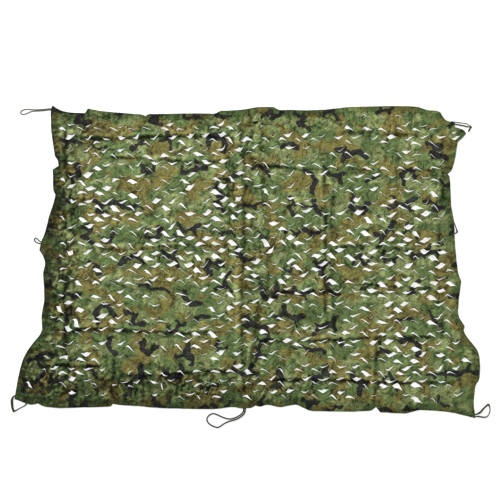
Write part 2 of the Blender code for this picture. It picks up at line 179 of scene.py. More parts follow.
def table(kind: type, *rows: tuple) -> list:
    """Fills a table.

    Args:
        kind: The class of its rows, whose fields name the columns.
        rows: The rows' values.

    Returns:
        The rows as objects of that class.
    """
    return [kind(*row) for row in rows]


# x0, y0, x1, y1, rise, half_width, bow, shade
FOLDS = table(
    Fold,
    # the crumpled band down the middle
    (-37, 700, -7, -670, 24, 26, 14, 0.25), (74, 735, 98, -180, 20, 22, -10, 0.3),
    (44, -160, 22, -680, 22, 24, 8, 0.3), (-126, 700, -106, 10, 9, 24, 12, 0.2),
    (184, 160, 214, -690, 12, 26, -12, 0.2),
    # the creases down the right half
    (378, 480, 398, -340, 15, 20, 8, 1.5), (436, 455, 416, -690, 14, 18, -10, 0.6),
    (634, -340, 645, -715, 18, 18, 5, 0.8), (742, 740, 728, -340, 9, 24, 12, 0.5),
    # the creases down the left half
    (-506, 715, -492, 284, 12, 20, 6), (-671, -450, -676, -700, 16, 18, 4),
    # the crumpled strips inside the two side hems
    (-906, 690, -872, 60, 19, 24, -12, 0.5), (-938, 0, -880, -660, 18, 24, 14, 0.5),
    (968, 660, 958, -330, 19, 24, 12, 0.6), (1020, -360, 1070, -700, 12, 22, -8, 0.6),
    # the creases across the upper half
    (-926, 630, -62, 622, 15, 18, -8, 1.3), (-736, 519, -77, 504, 12, 18, 6),
    (24, 478, 388, 466, 15, 17, 5), (464, 474, 964, 454, 12, 18, -6),
    (414, 644, 1010, 638, 13, 20, 7), (-786, 74, -62, 80, 12, 20, -9), (414, 79, 1020, 64, 12, 18, 8),
    # the creases across the lower half
    (488, -116, 1038, -126, 14, 18, 5), (114, -142, 488, -151, 13, 18, -6),
    (-976, -340, -112, -347, 17, 20, 8, 1.2), (38, -387, 986, -376, 14, 18, -7, 1.2),
    (-1036, -522, -687, -510, 14, 20, 6, 1.4), (-646, -562, -62, -551, 17, 20, -8, 1.5),
    (74, -590, 1036, -597, 19, 18, 7, 1.5),
)

# x, y, reach, opening
SPOTS = table(
    Spot, (-750, 380, 120, 9), (-480, 275, 170, 6), (-170, 170, 210, 7), (-460, -10, 90, 13),
    (-520, 110, 140, -7), (-430, -190, 190, -3), (-450, -480, 260, -3), (-520, -660, 240, -2),
    (-760, -330, 100, 5), (-100, -330, 160, 4), (90, 10, 170, 11), (270, 440, 150, -5),
    (260, -190, 110, -4), (560, 260, 90, 17), (410, -30, 80, 12), (860, 10, 130, 17),
    (760, -290, 190, 4), (880, 290, 90, 6), (-930, 580, 90, 18), (740, 560, 90, 5),
    (-920, -180, 90, 14), (420, -430, 130, -4), (1000, 130, 110, -9), (-600, 700, 380, -3),
    (700, 680, 400, -4), (300, 570, 90, 7), (-240, -30, 110, 5), (860, -660, 130, 7),
    (990, -330, 90, -5), (1010, 580, 80, 8), (-780, 100, 110, 6), (-30, 720, 80, 6),
)

# The cuts of the upper right corner, where the cloth has pulled away from its hem:
# kind, x, y, opening, turn, skew, left_share, right_share
CORNER_CUTS = table(
    Cut,
    (CutKind.V, 1036, 608, 18, 0.0, 0.1, 0.9, 1.0),
    (CutKind.V, 1031, 640, 8, 0.0, 0.0, 0.5, 0.5),
)

# x, y, reach_x, reach_y, strength
CRUSHES = table(
    Crush,
    # the strips inside the two side hems
    (-945, 120, 100, 650, 1.4), (-1000, -560, 160, 200, 1.3), (1000, 150, 60, 560, 0.2),
    (1065, -520, 80, 230, 0.25), (985, 490, 75, 150, 0.5),
    # the band down the middle
    (-20, 420, 120, 330, 0.6), (60, -260, 130, 380, 0.45),
    # the strips inside the top hem and the bottom hem
    (60, 700, 1000, 60, 0.5), (-840, 660, 170, 120, 0.9), (-480, -640, 580, 100, 1.3),
    (120, -670, 260, 80, 0.9), (700, -690, 420, 50, 0.4),
    # along single creases
    (390, 480, 40, 420, 0.3), (640, -520, 50, 200, 0.3), (-20, 78, 900, 40, 0.25),
    (40, -140, 900, 40, 0.25),
)

# Each cord's diameter, and its route from its root in the hem: x, y, swell.
# Those that end in the hem are loops.
CORDS = {
    "loop_top_left": Cord(5.5, table(
        Stop, (-965, 766.7), (-985, 765.4), (-1010, 763.2), (-1035, 760.7), (-1060, 759.8), (-1076, 761.0),
        (-1092, 762.4), (-1108, 762.2), (-1122, 757.8), (-1131.5, 750.5), (-1131, 741.5), (-1119, 736.8),
        (-1104, 740.5), (-1089, 747.5), (-1074, 752.4), (-1060, 753.6), (-1035, 754.5), (-1010, 757),
        (-985, 759.2), (-965, 760.5),
    )),
    "strand_top_right_upper": Cord(6.5, table(
        Stop, (1018, 701, 0.75), (1036.5, 698.5, 0.75), (1055, 696, 0.75), (1076, 693.5, 0.75),
        (1096, 690, 0.75), (1107.5, 683, 0.8), (1114.5, 674, 1.7), (1112.5, 665, 1.3), (1108, 657, 1.45),
        (1104.5, 650, 1.2),
    )),
    "strand_top_right_lower": Cord(7.5, table(
        Stop, (1018, 690), (1036.5, 687.5), (1055, 684.5), (1074, 681), (1090, 677.5), (1106, 673.8),
    )),
    "loop_left": Cord(6.2, table(
        Stop, (-1018, 97.5), (-1030, 99.5), (-1038, 103.5), (-1046, 111), (-1053, 117.5), (-1059, 118.5),
        (-1063.5, 114), (-1063.5, 107.5), (-1058.5, 101), (-1050, 95.5), (-1040, 92), (-1030, 90.5),
        (-1018, 90),
    )),
    "loop_right": Cord(5.5, table(
        Stop, (1016, 206), (1030, 200), (1038, 184), (1043.5, 168), (1048, 153, 1.6), (1045, 145.5, 1.3),
        (1037, 141.5), (1026, 140), (1014, 140.5),
    )),
    "loop_bottom_left": Cord(8.5, table(
        Stop, (-1144, -667, 0.8), (-1161, -668.5, 0.85), (-1171, -677, 1.25), (-1175.5, -692, 1.6),
        (-1175, -710, 1.6), (-1172.5, -730, 1.5), (-1166.5, -745, 1.35), (-1158, -743.5, 0.95),
        (-1146, -736.5, 0.8), (-1130, -728, 0.75), (-1114, -719.5, 0.8), (-1104, -710, 1.0),
        (-1099, -698, 1.0),
    )),
    "loop_bottom": Cord(7.5, table(
        Stop, (-10, -718), (-10.3, -738), (-12.5, -752), (-20.5, -764.5), (-34.5, -775.5), (-50, -784.5),
        (-65, -790), (-80, -794), (-98, -800), (-117, -809), (-134, -821), (-149, -827.5), (-164, -823.5),
        (-181, -816), (-196, -803), (-202, -788.5), (-198.5, -776), (-188, -765), (-174, -758.5),
        (-160, -760), (-143, -767.5), (-124, -776), (-105, -782.5), (-87, -785), (-70, -782), (-54, -776),
        (-39.5, -768), (-27, -758), (-20.3, -748), (-18.4, -738), (-18, -718),
    )),
    "loop_bottom_right": Cord(6.5, table(
        Stop, (1124, -761), (1141, -762, 1.1), (1154, -757.5, 1.5), (1165.5, -750, 1.65),
        (1174, -740.5, 1.5), (1183, -730, 1.35), (1194, -720.5, 1.35), (1203.5, -713, 1.5),
        (1209, -718.5, 1.2), (1211.5, -728, 0.85), (1212.8, -739, 0.8), (1210.5, -752, 0.8),
        (1205.5, -765, 0.85), (1197, -773.5, 0.95), (1186, -776.5, 1.1), (1169, -775, 1.25),
        (1155, -772.8, 1.2), (1141, -772.5), (1126, -773),
    )),
}


# ---- small helpers


class Seed(IntEnum):
    """Where each use of noise has its first seed; some use the next ones too."""

    PLEATS = 9
    MARK_EDGES = 12
    MARK_WIDTHS = 14
    RIM = 31
    STRINGS = 41
    CRINKLES = 51
    PATCHES = 71
    FLECKS = 72
    BROKEN_CREASES = 75
    WANDER_WIDE = 81
    WANDER_FINE = 83
    DENTS = 91
    SLANTING_DENTS = 93
    RISING_DENTS = 94


class Ripple:
    """Seeded gradient noise over the plane, between about -1 and 1."""

    SIZE = 4096

    def __init__(self, seed: int) -> None:
        """Draws the noise's slopes.

        Args:
            seed: The same seed gives the same noise.
        """
        rng = np.random.default_rng(seed)
        turns = rng.uniform(0.0, 2.0 * math.pi, self.SIZE)
        self.slopes = np.column_stack((np.cos(turns), np.sin(turns)))
        self.order = rng.permutation(self.SIZE)

    def __call__(self, x: Array, y: Array, length: float = 1.0) -> Array:
        """The noise at each point.

        Args:
            x: The points' x.
            y: Their y.
            length: The distance over which the noise changes.

        Returns:
            One value for each point.
        """
        u, v = x / length, y / length
        column, row = np.floor(u).astype(int), np.floor(v).astype(int)
        s, t = u - column, v - row
        total = np.zeros_like(u)
        for right, up in product((0, 1), (0, 1)):
            at = (self.order[(column + right) % self.SIZE] + row + up) % self.SIZE
            slope = self.slopes[self.order[at]]
            share = (s - right) * slope[:, 0] + (t - up) * slope[:, 1]
            weight = self._fade(s if right else 1.0 - s) * self._fade(t if up else 1.0 - t)
            total += weight * share
        return 1.5 * total

    @staticmethod
    def _fade(t: Array) -> Array:
        """Eases a share from 0 to 1."""
        return t * t * t * (t * (6.0 * t - 15.0) + 10.0)


def unit(value: Array) -> Array:
    """Keeps a value between 0 and 1."""
    return np.clip(value, 0.0, 1.0)


def bell(distance: Array, width: float | Array) -> Array:
    """A bell curve over a distance, 1 in its middle."""
    return np.exp(-((distance / width) ** 2))


def square_to_rim(points: Array, seed: int, across: float, along: float) -> Array:
    """Draws ripples that run square to the rim: upright ones, and level ones beside the short sides.

    Args:
        points: Points as rows of x and y.
        seed: The upright ripples' seed; the level ones take the next.
        across: How far apart they lie.
        along: How long they are.

    Returns:
        One value for each point, between about -1 and 1.
    """
    x, y = points.T
    beside = unit((np.abs(x) - SIDES_FROM) / SIDES_OVER)
    upright = Ripple(seed)(x / across, y / along)
    level = Ripple(seed + 1)(x / along, y / across)
    return upright * (1.0 - beside) + level * beside


def depth_inside(points: Array, ring: Array) -> Array:
    """Measures how far inside a closed ring points lie.

    Args:
        points: Points as rows of x and y.
        ring: The ring's corners, in order.

    Returns:
        Each point's distance from the ring, negative outside it.
    """
    start, end = ring[None], np.roll(ring, -1, axis=0)[None]
    run = end - start
    square = (run * run).sum(axis=2)
    rise = np.where(run[..., 1] == 0, 1.0, run[..., 1])
    depths = []
    for part in np.array_split(np.atleast_2d(points), max(1, len(points) // MEASURED_AT_ONCE)):
        part = part[:, None, :]
        share = unit(((part - start) * run).sum(axis=2) / square)
        distance = np.linalg.norm(part - start - run * share[..., None], axis=2).min(axis=1)
        straddles = (start[..., 1] > part[..., 1]) != (end[..., 1] > part[..., 1])
        meets = start[..., 0] + (part[..., 1] - start[..., 1]) * run[..., 0] / rise
        inside = (straddles & (part[..., 0] < meets)).sum(axis=1) % 2 == 1
        depths.append(np.where(inside, distance, -distance))
    return np.concatenate(depths)


def area_inside(ring: Array) -> float:
    """The area inside a ring, negative where its corners run clockwise."""
    x, y = ring.T
    return 0.5 * float((x * np.roll(y, -1) - y * np.roll(x, -1)).sum())


def crushed(points: Array) -> Array:
    """Works out how strongly the cloth is crushed.

    Args:
        points: Points as rows of x and y.

    Returns:
        The strength at each, from 0 to about 1.
    """
    total = np.zeros(len(points))
    for crush in CRUSHES:
        aside = (points[:, 0] - crush.x) / crush.reach_x
        up = (points[:, 1] - crush.y) / crush.reach_y
        total = np.maximum(total, crush.strength * np.exp(-(np.abs(aside) ** 3 + np.abs(up) ** 3)))
    return total


def placed(name: str, data: bpy.types.ID, place: Point) -> Object:
    """Puts an object into the scene.

    Args:
        name: Its name.
        data: Its mesh, camera or light.
        place: Where it stands.

    Returns:
        The object.
    """
    made = bpy.data.objects.new(name, data)
    made.location = place
    bpy.context.scene.collection.objects.link(made)
    return made


def mesh_object(name: str, points: Array, faces: Faces) -> Object:
    """Makes an object from points in millimetres.

    Args:
        name: The object's name.
        points: Rows of x, y and z.
        faces: Each face's points, by number.

    Returns:
        The object, the only one selected.
    """
    mesh = bpy.data.meshes.new(name)
    mesh.from_pydata((np.asarray(points) * MM).tolist(), [], faces)
    made = placed(name, mesh, (0.0, 0.0, 0.0))
    bpy.ops.object.select_all(action="DESELECT")
    made.select_set(True)
    bpy.context.view_layer.objects.active = made
    return made


def solid_from(name: str, points: Array, faces: Faces, smooth_below: float) -> Object:
    """Makes a closed object from points in millimetres.

    Args:
        name: The object's name.
        points: Rows of x, y and z.
        faces: Each face's points, by number.
        smooth_below: Edges flatter than this angle, in degrees, are shaded smooth.

    Returns:
        The object, with its faces pointing out.
    """
    made = mesh_object(name, points, faces)
    shape = bmesh.new()
    shape.from_mesh(made.data)
    bmesh.ops.recalc_face_normals(shape, faces=shape.faces)
    shape.to_mesh(made.data)
    shape.free()
    bpy.ops.object.shade_smooth_by_angle(angle=math.radians(smooth_below))
    return made


def skin(first: int, rings: int, sides: int) -> Faces:
    """Closes the skin over a row of rings of points.

    Args:
        first: The number of the first ring's first point.
        rings: How many rings there are.
        sides: How many points each has.

    Returns:
        The faces round them and the two at the ends.
    """
    faces = []
    for start in range(first, first + sides * (rings - 1), sides):
        for side in range(sides):
            a, b = start + side, start + (side + 1) % sides
            faces.append([a, b, b + sides, a + sides])
    last = first + sides * (rings - 1)
    return faces + [list(range(first, first + sides))[::-1], list(range(last, last + sides))]


def settle(piece: Object, material: Material, nodes: Iterable[str] = ()) -> Object:
    """Dresses a piece and ties it to the net.

    Args:
        piece: The finished shape.
        material: Its finish.
        nodes: The CAD nodes that the piece stands for.

    Returns:
        The piece.
    """
    piece.data.materials.append(material)
    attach(piece, "root")
    if nodes:
        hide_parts(*nodes)
    LOG.info("%s: %d faces", piece.name, len(piece.data.polygons))
    return piece


# ---- shader tools


class Graph:
    """Adds nodes to a node tree, each set and linked in one line."""

    def __init__(self, tree: Tree) -> None:
        """Takes the tree to add to."""
        self.tree = tree

    def feed(self, node: Node, inputs: Inputs) -> None:
        """Sets or links a node's inputs.

        Args:
            node: The node.
            inputs: A value or another node's output for each input, by name or number.
        """
        for name, value in inputs.items():
            if isinstance(value, Socket):
                self.tree.links.new(value, node.inputs[name])
            else:
                node.inputs[name].default_value = value

    def node(self, kind: str, inputs: Inputs | None = None, **settings: object) -> Node:
        """Adds a node.

        Args:
            kind: The node's type name.
            inputs: What goes into it.
            settings: The node's own properties.

        Returns:
            The node.
        """
        made = self.tree.nodes.new(kind)
        for name, value in settings.items():
            setattr(made, name, value)
        self.feed(made, inputs or {})
        return made

    def sum(self, operation: str, *values: Value) -> Socket:
        """The output of a Math node over values or outputs."""
        return self.node("ShaderNodeMath", dict(enumerate(values)), operation=operation).outputs[0]

    def vector(self, operation: str, *values: Value) -> Socket:
        """The output of a Vector Math node over vectors or outputs."""
        return self.node("ShaderNodeVectorMath", dict(enumerate(values)), operation=operation).outputs[0]

    def attribute(self, name: str) -> Socket:
        """The output of one of the mesh's own numbers."""
        return self.node("ShaderNodeAttribute", attribute_name=name).outputs["Fac"]

    def turned(self, place: Socket, degrees: float) -> Socket:
        """The place, turned about the upright axis."""
        values = {"Vector": place, "Angle": math.radians(degrees)}
        return self.node("ShaderNodeVectorRotate", values, rotation_type="Z_AXIS").outputs[0]

    def step(self, value: Socket, edge: float, softness: float) -> Socket:
        """A mask that is 0 below an edge and 1 above it.

        Args:
            value: The output that is tested.
            edge: Where the mask is a half.
            softness: The width over which it changes.

        Returns:
            The mask's output.
        """
        ends = {"Value": value, "From Min": edge - softness, "From Max": edge + softness}
        return self.node("ShaderNodeMapRange", ends, interpolation_type="SMOOTHSTEP").outputs[0]

    def ramp(self, value: Socket, start: float, end: float, low: float, high: float) -> Socket:
        """Maps a stretch of a value evenly onto another.

        Args:
            value: The output that is mapped.
            start: Where the stretch starts.
            end: Where it ends.
            low: What comes out up to its start.
            high: What comes out from its end on.

        Returns:
            The mapped output.
        """
        ends = {"Value": value, "From Min": start, "From Max": end, "To Min": low, "To Max": high}
        return self.node("ShaderNodeMapRange", ends).outputs[0]

    def blend(self, mask: Value, below: Value, above: Value, blend_type: str = "MIX") -> Socket:
        """Mixes two colours by a mask.

        Args:
            mask: The share of the second colour, as a value or an output.
            below: The first colour or output.
            above: The second colour or output.
            blend_type: The way in which they mix.

        Returns:
            The mixed colour's output.
        """
        inputs = {0: mask, 6: below, 7: above}  # the numbers of the factor and the two colours
        return self.node("ShaderNodeMix", inputs, data_type="RGBA", blend_type=blend_type).outputs[2]

    def bump(self, height: Socket, strength: float, distance: float, below: Socket | None = None) -> Socket:
        """Raises the surface in its shading alone.

        Args:
            height: The output with how high it stands.
            strength: The share of that which shows.
            distance: How high a height of 1 stands, in metres.
            below: The normal of the coarser relief that this lies on.

        Returns:
            The normal's output.
        """
        inputs = {"Height": height, "Strength": strength, "Distance": distance}
        if below is not None:
            inputs["Normal"] = below
        return self.node("ShaderNodeBump", inputs).outputs[0]

    def facets(self, place: Socket, turn: float, cells: float) -> Socket:
        """Adds the little flat facets of crumpled cloth, for the painted light and shade on them.

        Args:
            place: The output with the place.
            turn: The way that the facets are long, in degrees.
            cells: How many there are to the metre across that way.

        Returns:
            The output with each facet's own value, from 0 to 1.
        """
        place = self.vector("ADD", place, self.stray(place, scale=70.0, detail=1.0, span=0.012))
        drawn = self.vector("MULTIPLY", self.turned(place, turn), (0.45, 1.0, 1.0))
        cell = self.node("ShaderNodeTexVoronoi", {"Vector": drawn, "Scale": cells}, voronoi_dimensions="2D")
        return self.node("ShaderNodeSeparateColor", {"Color": cell.outputs["Color"]}).outputs[0]

    def stray(self, place: Socket, scale: float, detail: float, span: float) -> Socket:
        """Adds a noise that shifts a place to either side, level.

        Args:
            place: The output with the place to read it at.
            scale: How many changes there are in a metre.
            detail: How many finer layers it has.
            span: How far it goes from one side to the other, in metres.

        Returns:
            The shift's output.
        """
        noise = self.noise(place, scale, detail).outputs["Color"]
        return self.vector("MULTIPLY", self.vector("SUBTRACT", noise, (0.5, 0.5, 0.5)), (span, span, 0.0))

    def off_middle(self, noise: Node) -> Socket:
        """How far a noise lies from its middle value, which is nothing along winding lines."""
        return self.sum("ABSOLUTE", self.sum("MULTIPLY_ADD", noise.outputs[0], 2.0, -1.0))

    def noise(
        self,
        place: Socket,
        scale: Value,
        detail: float = 2.0,
        roughness: float = 0.5,
        shift: Point = (0.0, 0.0, 0.0),
    ) -> Node:
        """Adds a noise texture.

        Args:
            place: The output with the place to read it at.
            scale: How many changes there are in a metre.
            detail: How many finer layers it has.
            roughness: How strong these are.
            shift: Moves the noise, so that two of one scale differ.

        Returns:
            The node.
        """
        moved = self.vector("ADD", place, shift)
        values = {"Vector": moved, "Scale": scale, "Detail": detail, "Roughness": roughness}
        return self.node("ShaderNodeTexNoise", values)


def group(name: str, inputs: dict[str, float], outputs: Iterable[str]) -> tuple[Graph, Node, Node]:
    """Starts a shader node group.

    Args:
        name: The group's name.
        inputs: Its number inputs and their usual values; it has a vector input, Place, as well.
        outputs: The names of its number outputs.

    Returns:
        A graph to add its nodes with, and its input node and output node.
    """
    tree = bpy.data.node_groups.new(name, "ShaderNodeTree")
    tree.interface.new_socket("Place", in_out="INPUT", socket_type="NodeSocketVector")
    for label, usual in inputs.items():
        socket = tree.interface.new_socket(label, in_out="INPUT", socket_type="NodeSocketFloat")
        socket.default_value = usual
    for label in outputs:
        tree.interface.new_socket(label, in_out="OUTPUT", socket_type="NodeSocketFloat")
    return Graph(tree), tree.nodes.new("NodeGroupInput"), tree.nodes.new("NodeGroupOutput")


def weave_group() -> Tree:
    """Builds the plain weave: threads that pass over and under each other.

    Returns:
        A group with Threads per metre and Unevenness in, and Height and Shade out.
    """
    usual = {"Threads per metre": 1600.0, "Unevenness": 0.3}
    g, start, end = group("plain_weave", usual, ("Height", "Shade"))
    place = start.outputs["Place"]
    scaled = {0: place, "Scale": start.outputs["Threads per metre"]}
    threads = g.node("ShaderNodeVectorMath", scaled, operation="SCALE").outputs[0]
    parts = g.node("ShaderNodeSeparateXYZ", {0: threads}).outputs
    across, down = (g.sum("SINE", g.sum("MULTIPLY", parts[k], math.pi)) for k in (0, 1))
    over = g.sum("MULTIPLY", across, down)
    uneven = g.sum("MULTIPLY", g.noise(place, scale=260.0).outputs[0], start.outputs["Unevenness"])
    g.feed(end, {
        "Height": g.sum("SUBTRACT", g.sum("ABSOLUTE", over), uneven),
        "Shade": g.sum("MULTIPLY_ADD", over, 0.5, 0.5),
    })
    return g.tree


def crests(g: Graph, place: Socket, per_metre: Socket) -> Socket:
    """Draws the sharp crests of the creases, three ways across each other and each in patches.

    Args:
        g: The group's graph.
        place: The output with the place.
        per_metre: The output with the number of creases in a metre.

    Returns:
        The output with how high the crests stand, from 0 up.
    """
    total = None
    for turn, shift in ((12.0, 0.0), (78.0, 3.1), (134.0, 7.7)):
        drawn = g.vector("MULTIPLY", g.turned(place, turn), (0.34, 1.0, 1.0))
        lines = g.noise(drawn, scale=per_metre, shift=(shift, shift, 0.0))
        crest = g.ramp(g.off_middle(lines), start=0.0, end=0.16, low=1.0, high=0.0)
        patch = g.noise(place, scale=9.0, detail=1.0, shift=(shift, 2.0 * shift, 1.0))
        crest = g.sum("MULTIPLY", crest, g.step(patch.outputs[0], edge=0.47, softness=0.1))
        total = crest if total is None else g.sum("ADD", total, crest)
    return total


def fine_painted_shade(g: Graph, place: Socket) -> Socket:
    """Paints the fine shade of crumpled cloth, and painted shadow along the lines where it is pinched.

    Args:
        g: The group's graph.
        place: The output with the place.

    Returns:
        The output with the painted shade that this adds or takes.
    """
    leaning = g.vector("ADD", place, g.stray(place, scale=9.0, detail=1.0, span=0.16))
    fine = g.noise(g.vector("MULTIPLY", leaning, (1.0, 0.22, 1.0)), scale=125.0, roughness=0.6)
    total = g.sum("MULTIPLY_ADD", fine.outputs[0], 1.15, -0.575)
    for turn, shift in ((100.0, 2.2), (25.0, 5.3)):
        drawn = g.vector("MULTIPLY", g.turned(place, turn), (0.3, 1.0, 1.0))
        lines = g.noise(drawn, scale=40.0, detail=1.5, shift=(shift, shift, 0.0))
        pinch = g.ramp(g.off_middle(lines), start=0.0, end=0.09, low=-0.32, high=0.0)
        patch = g.noise(place, scale=17.0, detail=1.0, shift=(shift, 3.0 * shift, 1.0))
        pinch = g.sum("MULTIPLY", pinch, g.step(patch.outputs[0], edge=0.56, softness=0.05))
        total = g.sum("ADD", total, pinch)
    return total


def crumple_group() -> Tree:
    """Builds the fine creases of thin cloth that has been packed away.

    Returns:
        A group with Creases per metre and Sharpness in, and Height and Shade out.
    """
    usual = {"Creases per metre": 34.0, "Sharpness": 1.0}
    g, start, end = group("crumple", usual, ("Height", "Shade"))
    place = start.outputs["Place"]
    crest = crests(g, place, start.outputs["Creases per metre"])
    soft = g.noise(place, scale=60.0, detail=3.0, roughness=0.6).outputs[0]
    # Painted light and shade: each facet lighter or darker, as if it faced the light its own way.
    facets = g.sum("ADD", *(
        g.sum("MULTIPLY_ADD", g.facets(place, turn, cells), 0.22, -0.11)
        for turn, cells in ((35.0, 40.0), (-50.0, 62.0))
    ))
    sharp = g.sum("MULTIPLY", crest, start.outputs["Sharpness"])
    height = g.sum("ADD", sharp, g.sum("MULTIPLY", soft, 0.75))
    # Painted light and shade: the crests lighter, the soft noise mottling light and dark.
    shade = g.sum("MULTIPLY_ADD", crest, 0.16, g.sum("MULTIPLY_ADD", soft, 0.42, 0.285))
    g.feed(end, {
        "Height": g.sum("MULTIPLY", height, 0.5),
        "Shade": g.sum("ADD", g.sum("ADD", shade, facets), fine_painted_shade(g, place)),
    })
    return g.tree


class Effects:
    """The shader groups that several finishes share, built once."""

    def __init__(self) -> None:
        """Builds the groups."""
        self.weave = weave_group()
        self.crumple = crumple_group()


# ---- finishes


def principled(name: str, values: Inputs) -> tuple[Material, Graph, Node]:
    """Starts a material.

    Args:
        name: The material's name.
        values: The values that its Principled node keeps, by its inputs' names.

    Returns:
        The material, a graph to add its nodes with, and its Principled node.
    """
    made = bpy.data.materials.new(name)
    made.use_nodes = True
    g, shader = Graph(made.node_tree), made.node_tree.nodes["Principled BSDF"]
    g.feed(shader, values)
    return made, g, shader


@dataclass(frozen=True)
class CamouflageFinish:
    """Woven polyester printed in two greens, brown and black."""

    effects: Effects
    green: Colour = (0.142, 0.207, 0.068, 1.0)
    sage: Colour = (0.264, 0.314, 0.122, 1.0)
    brown: Colour = (0.226, 0.203, 0.057, 1.0)
    black: Colour = (0.031, 0.031, 0.027, 1.0)
    hem_shade: Colour = (0.50, 0.55, 0.44, 1.0)

    def material(self) -> Material:
        """Builds the printed cloth.

        Returns:
            The material. It reads the cloth's own UV map, and its attributes black_mark, hem, and the painted
            shade and tone.
        """
        values = {"Sheen Weight": 0.05, "Sheen Roughness": 0.45, "Specular IOR Level": 0.2}
        made, g, shader = principled("camouflage_print", values)
        place = g.node("ShaderNodeUVMap", uv_map="flat_cloth").outputs[0]
        crumple = g.node("ShaderNodeGroup", {"Place": place}, node_tree=self.effects.crumple).outputs
        weave = g.node("ShaderNodeGroup", {"Place": place}, node_tree=self.effects.weave).outputs
        # Painted shade: the crumples' painted shade times the sheet's painted shade and tone darkens the
        # print.
        shade = g.sum("MULTIPLY", g.sum("MULTIPLY_ADD", crumple["Shade"], 1.3, 0.27), g.attribute("painted_shade_and_tone"))
        grey = g.node("ShaderNodeCombineColor", {0: shade, 1: shade, 2: shade}).outputs[0]
        colour = g.blend(1.0, self._print(g, place), grey, "MULTIPLY")
        # Painted shade: where it is deep, the colour turns darker and richer, as cloth shaded in its own
        # green light does.
        shadow_deepening = g.ramp(shade, start=0.2, end=0.85, low=1.3, high=1.0)
        colour = g.node("ShaderNodeGamma", {"Color": colour, "Gamma": shadow_deepening}).outputs[0]
        in_hem = g.blend(1.0, colour, self.hem_shade, "MULTIPLY")
        creased = g.bump(crumple["Height"], strength=0.8, distance=0.006)
        g.feed(shader, {
            "Base Color": g.blend(g.attribute("hem"), colour, in_hem),
            "Roughness": g.sum("MULTIPLY_ADD", crumple["Shade"], 0.16, 0.62),
            "Normal": g.bump(weave["Height"], strength=0.25, distance=0.0003, below=creased),
        })
        return made

    def _print(self, g: Graph, place: Socket) -> Socket:
        """Draws the print's colours.

        Args:
            g: The material's graph.
            place: The output with the place on the flat cloth.

        Returns:
            The colour's output.
        """
        wide = g.stray(place, scale=24.0, detail=2.5, span=0.05)
        fine = g.stray(place, scale=85.0, detail=1.0, span=0.016)
        bent = g.vector("ADD", place, g.vector("ADD", wide, fine))
        drawn = g.vector("MULTIPLY", bent, (0.72, 1.0, 1.0))
        light = g.noise(drawn, scale=12.5, detail=1.2, roughness=0.45, shift=(4.1, 2.3, 0.0)).outputs[0]
        brown = g.noise(drawn, scale=11.0, detail=1.6, shift=(9.7, 5.2, 0.0)).outputs[0]
        colour = g.blend(g.step(light, edge=0.525, softness=0.010), self.green, self.sage)
        colour = g.blend(g.step(brown, edge=0.54, softness=0.008), colour, self.brown)
        return g.blend(g.step(g.attribute("black_mark"), edge=0.5, softness=0.035), colour, self.black)


@dataclass(frozen=True)
class CordFinish:
    """Twisted cord of fine fibres."""

    effects: Effects
    name: str
    colour: Colour = (0.022, 0.024, 0.002, 1.0)
    worn: Colour = (0.064, 0.061, 0.009, 1.0)

    def material(self) -> Material:
        """Builds the cord's finish.

        Returns:
            The material. It reads Object coordinates.
        """
        made, g, shader = principled(self.name, {"Sheen Weight": 0.02})
        place = g.node("ShaderNodeTexCoord").outputs["Object"]
        wear = g.noise(place, scale=90.0, detail=3.0, roughness=0.6).outputs[0]
        inputs = {"Place": place, "Threads per metre": 2600.0}
        weave = g.node("ShaderNodeGroup", inputs, node_tree=self.effects.weave).outputs
        g.feed(shader, {
            "Base Color": g.blend(g.step(wear, edge=0.58, softness=0.18), self.colour, self.worn),
            "Roughness": g.sum("MULTIPLY_ADD", wear, 0.2, 0.62),
            "Normal": g.bump(weave["Height"], strength=0.4, distance=0.0003),
        })
        return made


@dataclass(frozen=True)
class FloorFinish:
    """A plain pale studio floor that is lit evenly."""

    colour: Colour = (0.46, 0.46, 0.46, 1.0)
    glow: float = 0.76

    def material(self) -> Material:
        """Builds the floor's finish.

        Returns:
            The material.
        """
        values = {
            "Base Color": self.colour,
            "Roughness": 0.9,
            "Emission Color": (1.0, 1.0, 1.0, 1.0),
            "Emission Strength": self.glow,
        }
        return principled("studio_floor", values)[0]


# What the other soft things have for their colour.
THREAD: Colour = (0.05, 0.06, 0.03, 1.0)
STRING: Colour = (0.03, 0.035, 0.025, 1.0)
# Painted shadow: the turned cloth is coloured near black for the shade that it lies in.
TURNED_CLOTH_IN_SHADOW: Colour = (0.018, 0.022, 0.012, 1.0)


# ---- the cloth


